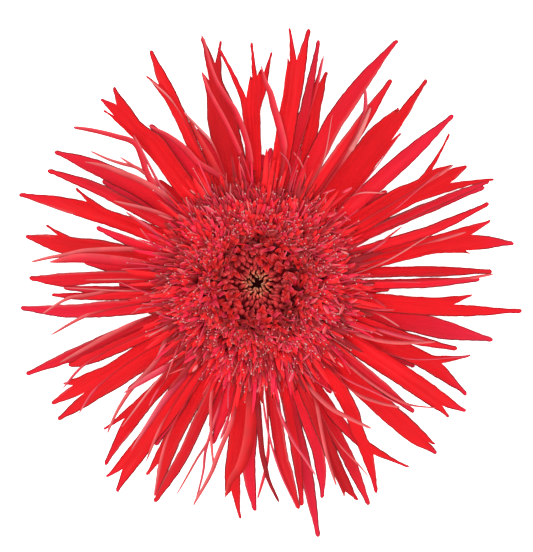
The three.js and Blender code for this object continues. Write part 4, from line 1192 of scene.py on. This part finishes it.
def disc_buds():
    draw = np.random.default_rng(3)
    heap = Heap()
    # A skin of painted shade under the round buds
    heap.turned([(0, BUD_FLOOR), (7.2, BUD_FLOOR), (7.2, 32.6), (3.75, 31.6), (3.75, 29.8), (0, 29.8)], 64,
                SHADE_MAROON)
    for share, radius, direction in spiral(draw, POINTED_BUDS, ROUND_BUDS, ROUND_SPAN):
        red = mix(BUD_BROWN, BUD_RED, clamp(share + draw.uniform(0, 0.4))) * draw.uniform(0.85, 1.2)
        # Painted light on the buds deep in the pit, most on the inner ones, and tops pinker, partly their own
        # colour and partly painted highlight
        red *= mix(1.6, 1.2, share)
        tip = mix(red, PINK, draw.uniform(0, 0.35))
        bud(heap, polar(radius, direction, mix(*ROUND_HEIGHTS, share ** 1.3)),
            direction + 180 + draw.uniform(-20, 20), draw.uniform(20, 75),
            mix(*ROUND_RADII, share) * draw.uniform(0.8, 1.3), draw.uniform(1.7, 2.9),
            [EYE_SHADE, mix(SHADE_MAROON, red, 0.2), mix(SHADE_MAROON, red, 0.6), red, tip, tip], 10)
    heap.piece("round_buds", ["disc_buds"], "buds", BUD)


def centre_buds():
    draw = np.random.default_rng(4)
    heap = Heap()
    # A skin of painted shade, black, under the pointed buds and in the eye
    heap.turned([(0, BUD_FLOOR), (3.45, BUD_FLOOR), (3.45, 31.3), (0.9, 31), (0.7, 30), (0, 30)], 48,
                EYE_SHADE)
    for share, radius, direction in spiral(draw, 0, POINTED_BUDS, POINTED_SPAN):
        # Painted shade on the buds nearest the eye, lighter outward, and on their feet
        coral = mix(CORAL, BUD_RED, 0.5 * share + draw.uniform(0, 0.4)) * mix(0.85, 1.8, share)
        tip = mix(CREAM * mix(0.8, 1.35, share), coral, clamp(0.5 * share + draw.uniform(-0.1, 0.5)))
        bud(heap, polar(radius, direction, mix(*POINTED_HEIGHTS, share)),
            direction + 180 + draw.uniform(-30, 30), draw.uniform(30, 56), draw.uniform(0.26, 0.42),
            draw.uniform(1.3, 2.1),
            [EYE_SHADE, coral * 0.5, coral * 0.9, mix(coral, tip, 0.3), mix(coral, tip, 0.8), tip], 8)
    heap.piece("pointed_buds", ["centre_buds"], "centre", BUD)


# Stalk and involucre

STALK_HAIRS = 900
STALK_HAIR_HEIGHTS = (0.7, 10.4)
BRACT_HAIRS = 26
BRACT_WIDTH = 3.2
BRACT_CELLS = 6
BRACT_OUTLINE = np.array([0.8, 0.9, 0.97, 1, 1, 0.97, 0.9, 0.8, 0.66, 0.48, 0.26, 0.04])

# Each row of bracts: their number, the heights of their foot and tip, and how far out the tip is
BRACT_ROWS = [(13, 11.6, 16.8, 13.4), (15, 12.6, 18.6, 15), (17, 13.6, 20.2, 16.2)]


def stalk():
    draw = np.random.default_rng(8)
    heap = Heap()
    profile = [(0, 0.3), (2.1, 0.25), (2.7, 0.0), (3.2, 0.12), (STALK_RADIUS, 0.5), (STALK_RADIUS, 4.5),
               (STALK_RADIUS, 9), (3.6, 10.6), (4.4, 12.2), (6.2, 14), (9.2, 16), (11.2, 18),
               (RECEPTACLE_RADIUS, RECEPTACLE_RIM), (11.4, RECEPTACLE_TOP), (0, RECEPTACLE_TOP)]
    heap.turned(profile, 120, [CUT_GREEN] * 3 + [STALK_GREEN] * 12, ribs=10, rib_depth=0.025)
    direction = draw.uniform(0, 360, STALK_HAIRS)
    feet = polar(STALK_RADIUS * 0.99, direction, draw.uniform(*STALK_HAIR_HEIGHTS, STALK_HAIRS))
    out = polar(0.99, direction, 0)
    tips = feet + out * draw.uniform(0.5, 1.1, (STALK_HAIRS, 1)) + draw.uniform(-0.3, 0.3, (STALK_HAIRS, 3))
    heap.hairs(feet, tips, 0.04, DOWN)
    heap.piece("stalk", ["stem"], "stalk", LEAF)


def bract(heap, draw, direction, root, tip, reach):
    """A narrow pointed bract with a raised rim, ribbed lengthwise, and hairs under it."""
    rows, columns = len(BRACT_OUTLINE), BRACT_CELLS + 1
    along = np.linspace(0, 1, rows)[:, None]
    across = np.linspace(-1, 1, columns)
    radius = mix(STALK_RADIUS + 2, reach, along ** 0.8)
    spread = np.degrees(BRACT_OUTLINE[:, None] * BRACT_WIDTH / 2 / radius)
    lift = 0.45 * np.abs(across) ** 1.5 + 0.12 * np.cos(across * 9) * (1 - across ** 2)
    top = polar(radius, direction + across * spread, mix(root, tip, along ** 1.3) + lift + 0.2)
    low = top - [0, 0, 0.45]
    quads = net(rows, columns, rows - 1)[:, :-1, [0, 3, 2, 1]].reshape(-1, 4).tolist()
    green = mix(*BRACT_GREENS, draw.random())
    tones = np.repeat(mix(green, BRACT_TIP, 0.5 * along ** 4), columns, 0)
    grains = np.stack(np.broadcast_arrays(across * BRACT_WIDTH / 2, radius, draw.random() * GRAIN_SPREAD), -1)
    heap.plate(top.reshape(-1, 3), low.reshape(-1, 3), quads, [], tones, tones, grains.reshape(-1, 3))
    feet = low[draw.integers(2, rows, BRACT_HAIRS), draw.integers(0, columns, BRACT_HAIRS)]
    out = unit(polar(1, direction, -0.8))
    tips = feet + out * draw.uniform(0.4, 0.9, (BRACT_HAIRS, 1)) + draw.uniform(-0.3, 0.3, (BRACT_HAIRS, 3))
    heap.hairs(feet, tips, 0.035, DOWN)


def involucre():
    draw = np.random.default_rng(9)
    heap = Heap()
    for number, (count, root, tip, reach) in enumerate(BRACT_ROWS):
        for i in range(count):
            bract(heap, draw, (i + 0.5 * number) * 360 / count, root, tip, reach)
    heap.piece("bracts", ["involucre"], "bracts", LEAF)


# Stage, light and camera

FLOOR_SIZE = 6
FLOOR_GREY = (0.9, 0.9, 0.9, 1)
FLOOR_GLOW = 0.55
WHITE = (1, 1, 1, 1)
WORLD_STRENGTH = 1.5
SUN_STRENGTH = 2.4
SUN_SIZE = math.radians(20)
SUN_TILT = (math.radians(6), math.radians(-5), 0)


def add_floor():
    bpy.ops.mesh.primitive_plane_add(size=FLOOR_SIZE)
    floor = bpy.context.object
    floor.name = "floor"
    material = bpy.data.materials.new("floor")
    material.use_nodes = True
    shader = material.node_tree.nodes["Principled BSDF"]
    for key, value in (("Base Color", FLOOR_GREY), ("Roughness", 0.8), ("Emission Color", WHITE),
                       ("Emission Strength", FLOOR_GLOW)):
        shader.inputs[key].default_value = value
    floor.data.materials.append(material)
    floor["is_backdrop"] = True


def add_light():
    world = bpy.data.worlds.new("studio")
    world.use_nodes = True
    background = world.node_tree.nodes["Background"]
    background.inputs["Color"].default_value = WHITE
    background.inputs["Strength"].default_value = WORLD_STRENGTH
    bpy.context.scene.world = world
    lamp = bpy.data.lights.new("key", "SUN")
    lamp.energy = SUN_STRENGTH
    lamp.angle = SUN_SIZE
    key = bpy.data.objects.new("key", lamp)
    key.rotation_euler = SUN_TILT
    bpy.context.scene.collection.objects.link(key)


def add_camera():
    camera = bpy.data.cameras.new("camera")
    camera.lens = LENS
    camera.sensor_width = SENSOR
    camera.clip_end = 20
    aim_x = AXIS_X + (PHOTO_WIDTH / 2 - EYE_PIXEL[0]) * PIXEL * MM
    aim_y = AXIS_Y + (EYE_PIXEL[1] - PHOTO_HEIGHT / 2) * PIXEL * MM
    distance = PHOTO_HEIGHT * PIXEL * LENS / SENSOR
    holder = bpy.data.objects.new("camera", camera)
    holder.location = (aim_x, aim_y, (distance + FOCUS_HEIGHT) * MM)
    bpy.context.scene.collection.objects.link(holder)
    bpy.context.scene.camera = holder


for row_name in RAYS:
    ray_row(row_name)
trans_florets()
disc_florets()
disc_buds()
centre_buds()
stalk()
involucre()
add_floor()
add_light()
add_camera()
bpy.context.scene.view_settings.view_transform = "Standard"

look_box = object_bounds()
boxes = {"cad": cad_box, "look": look_box}
{name: [list(corner) for corner in box] for name, box in boxes.items()}
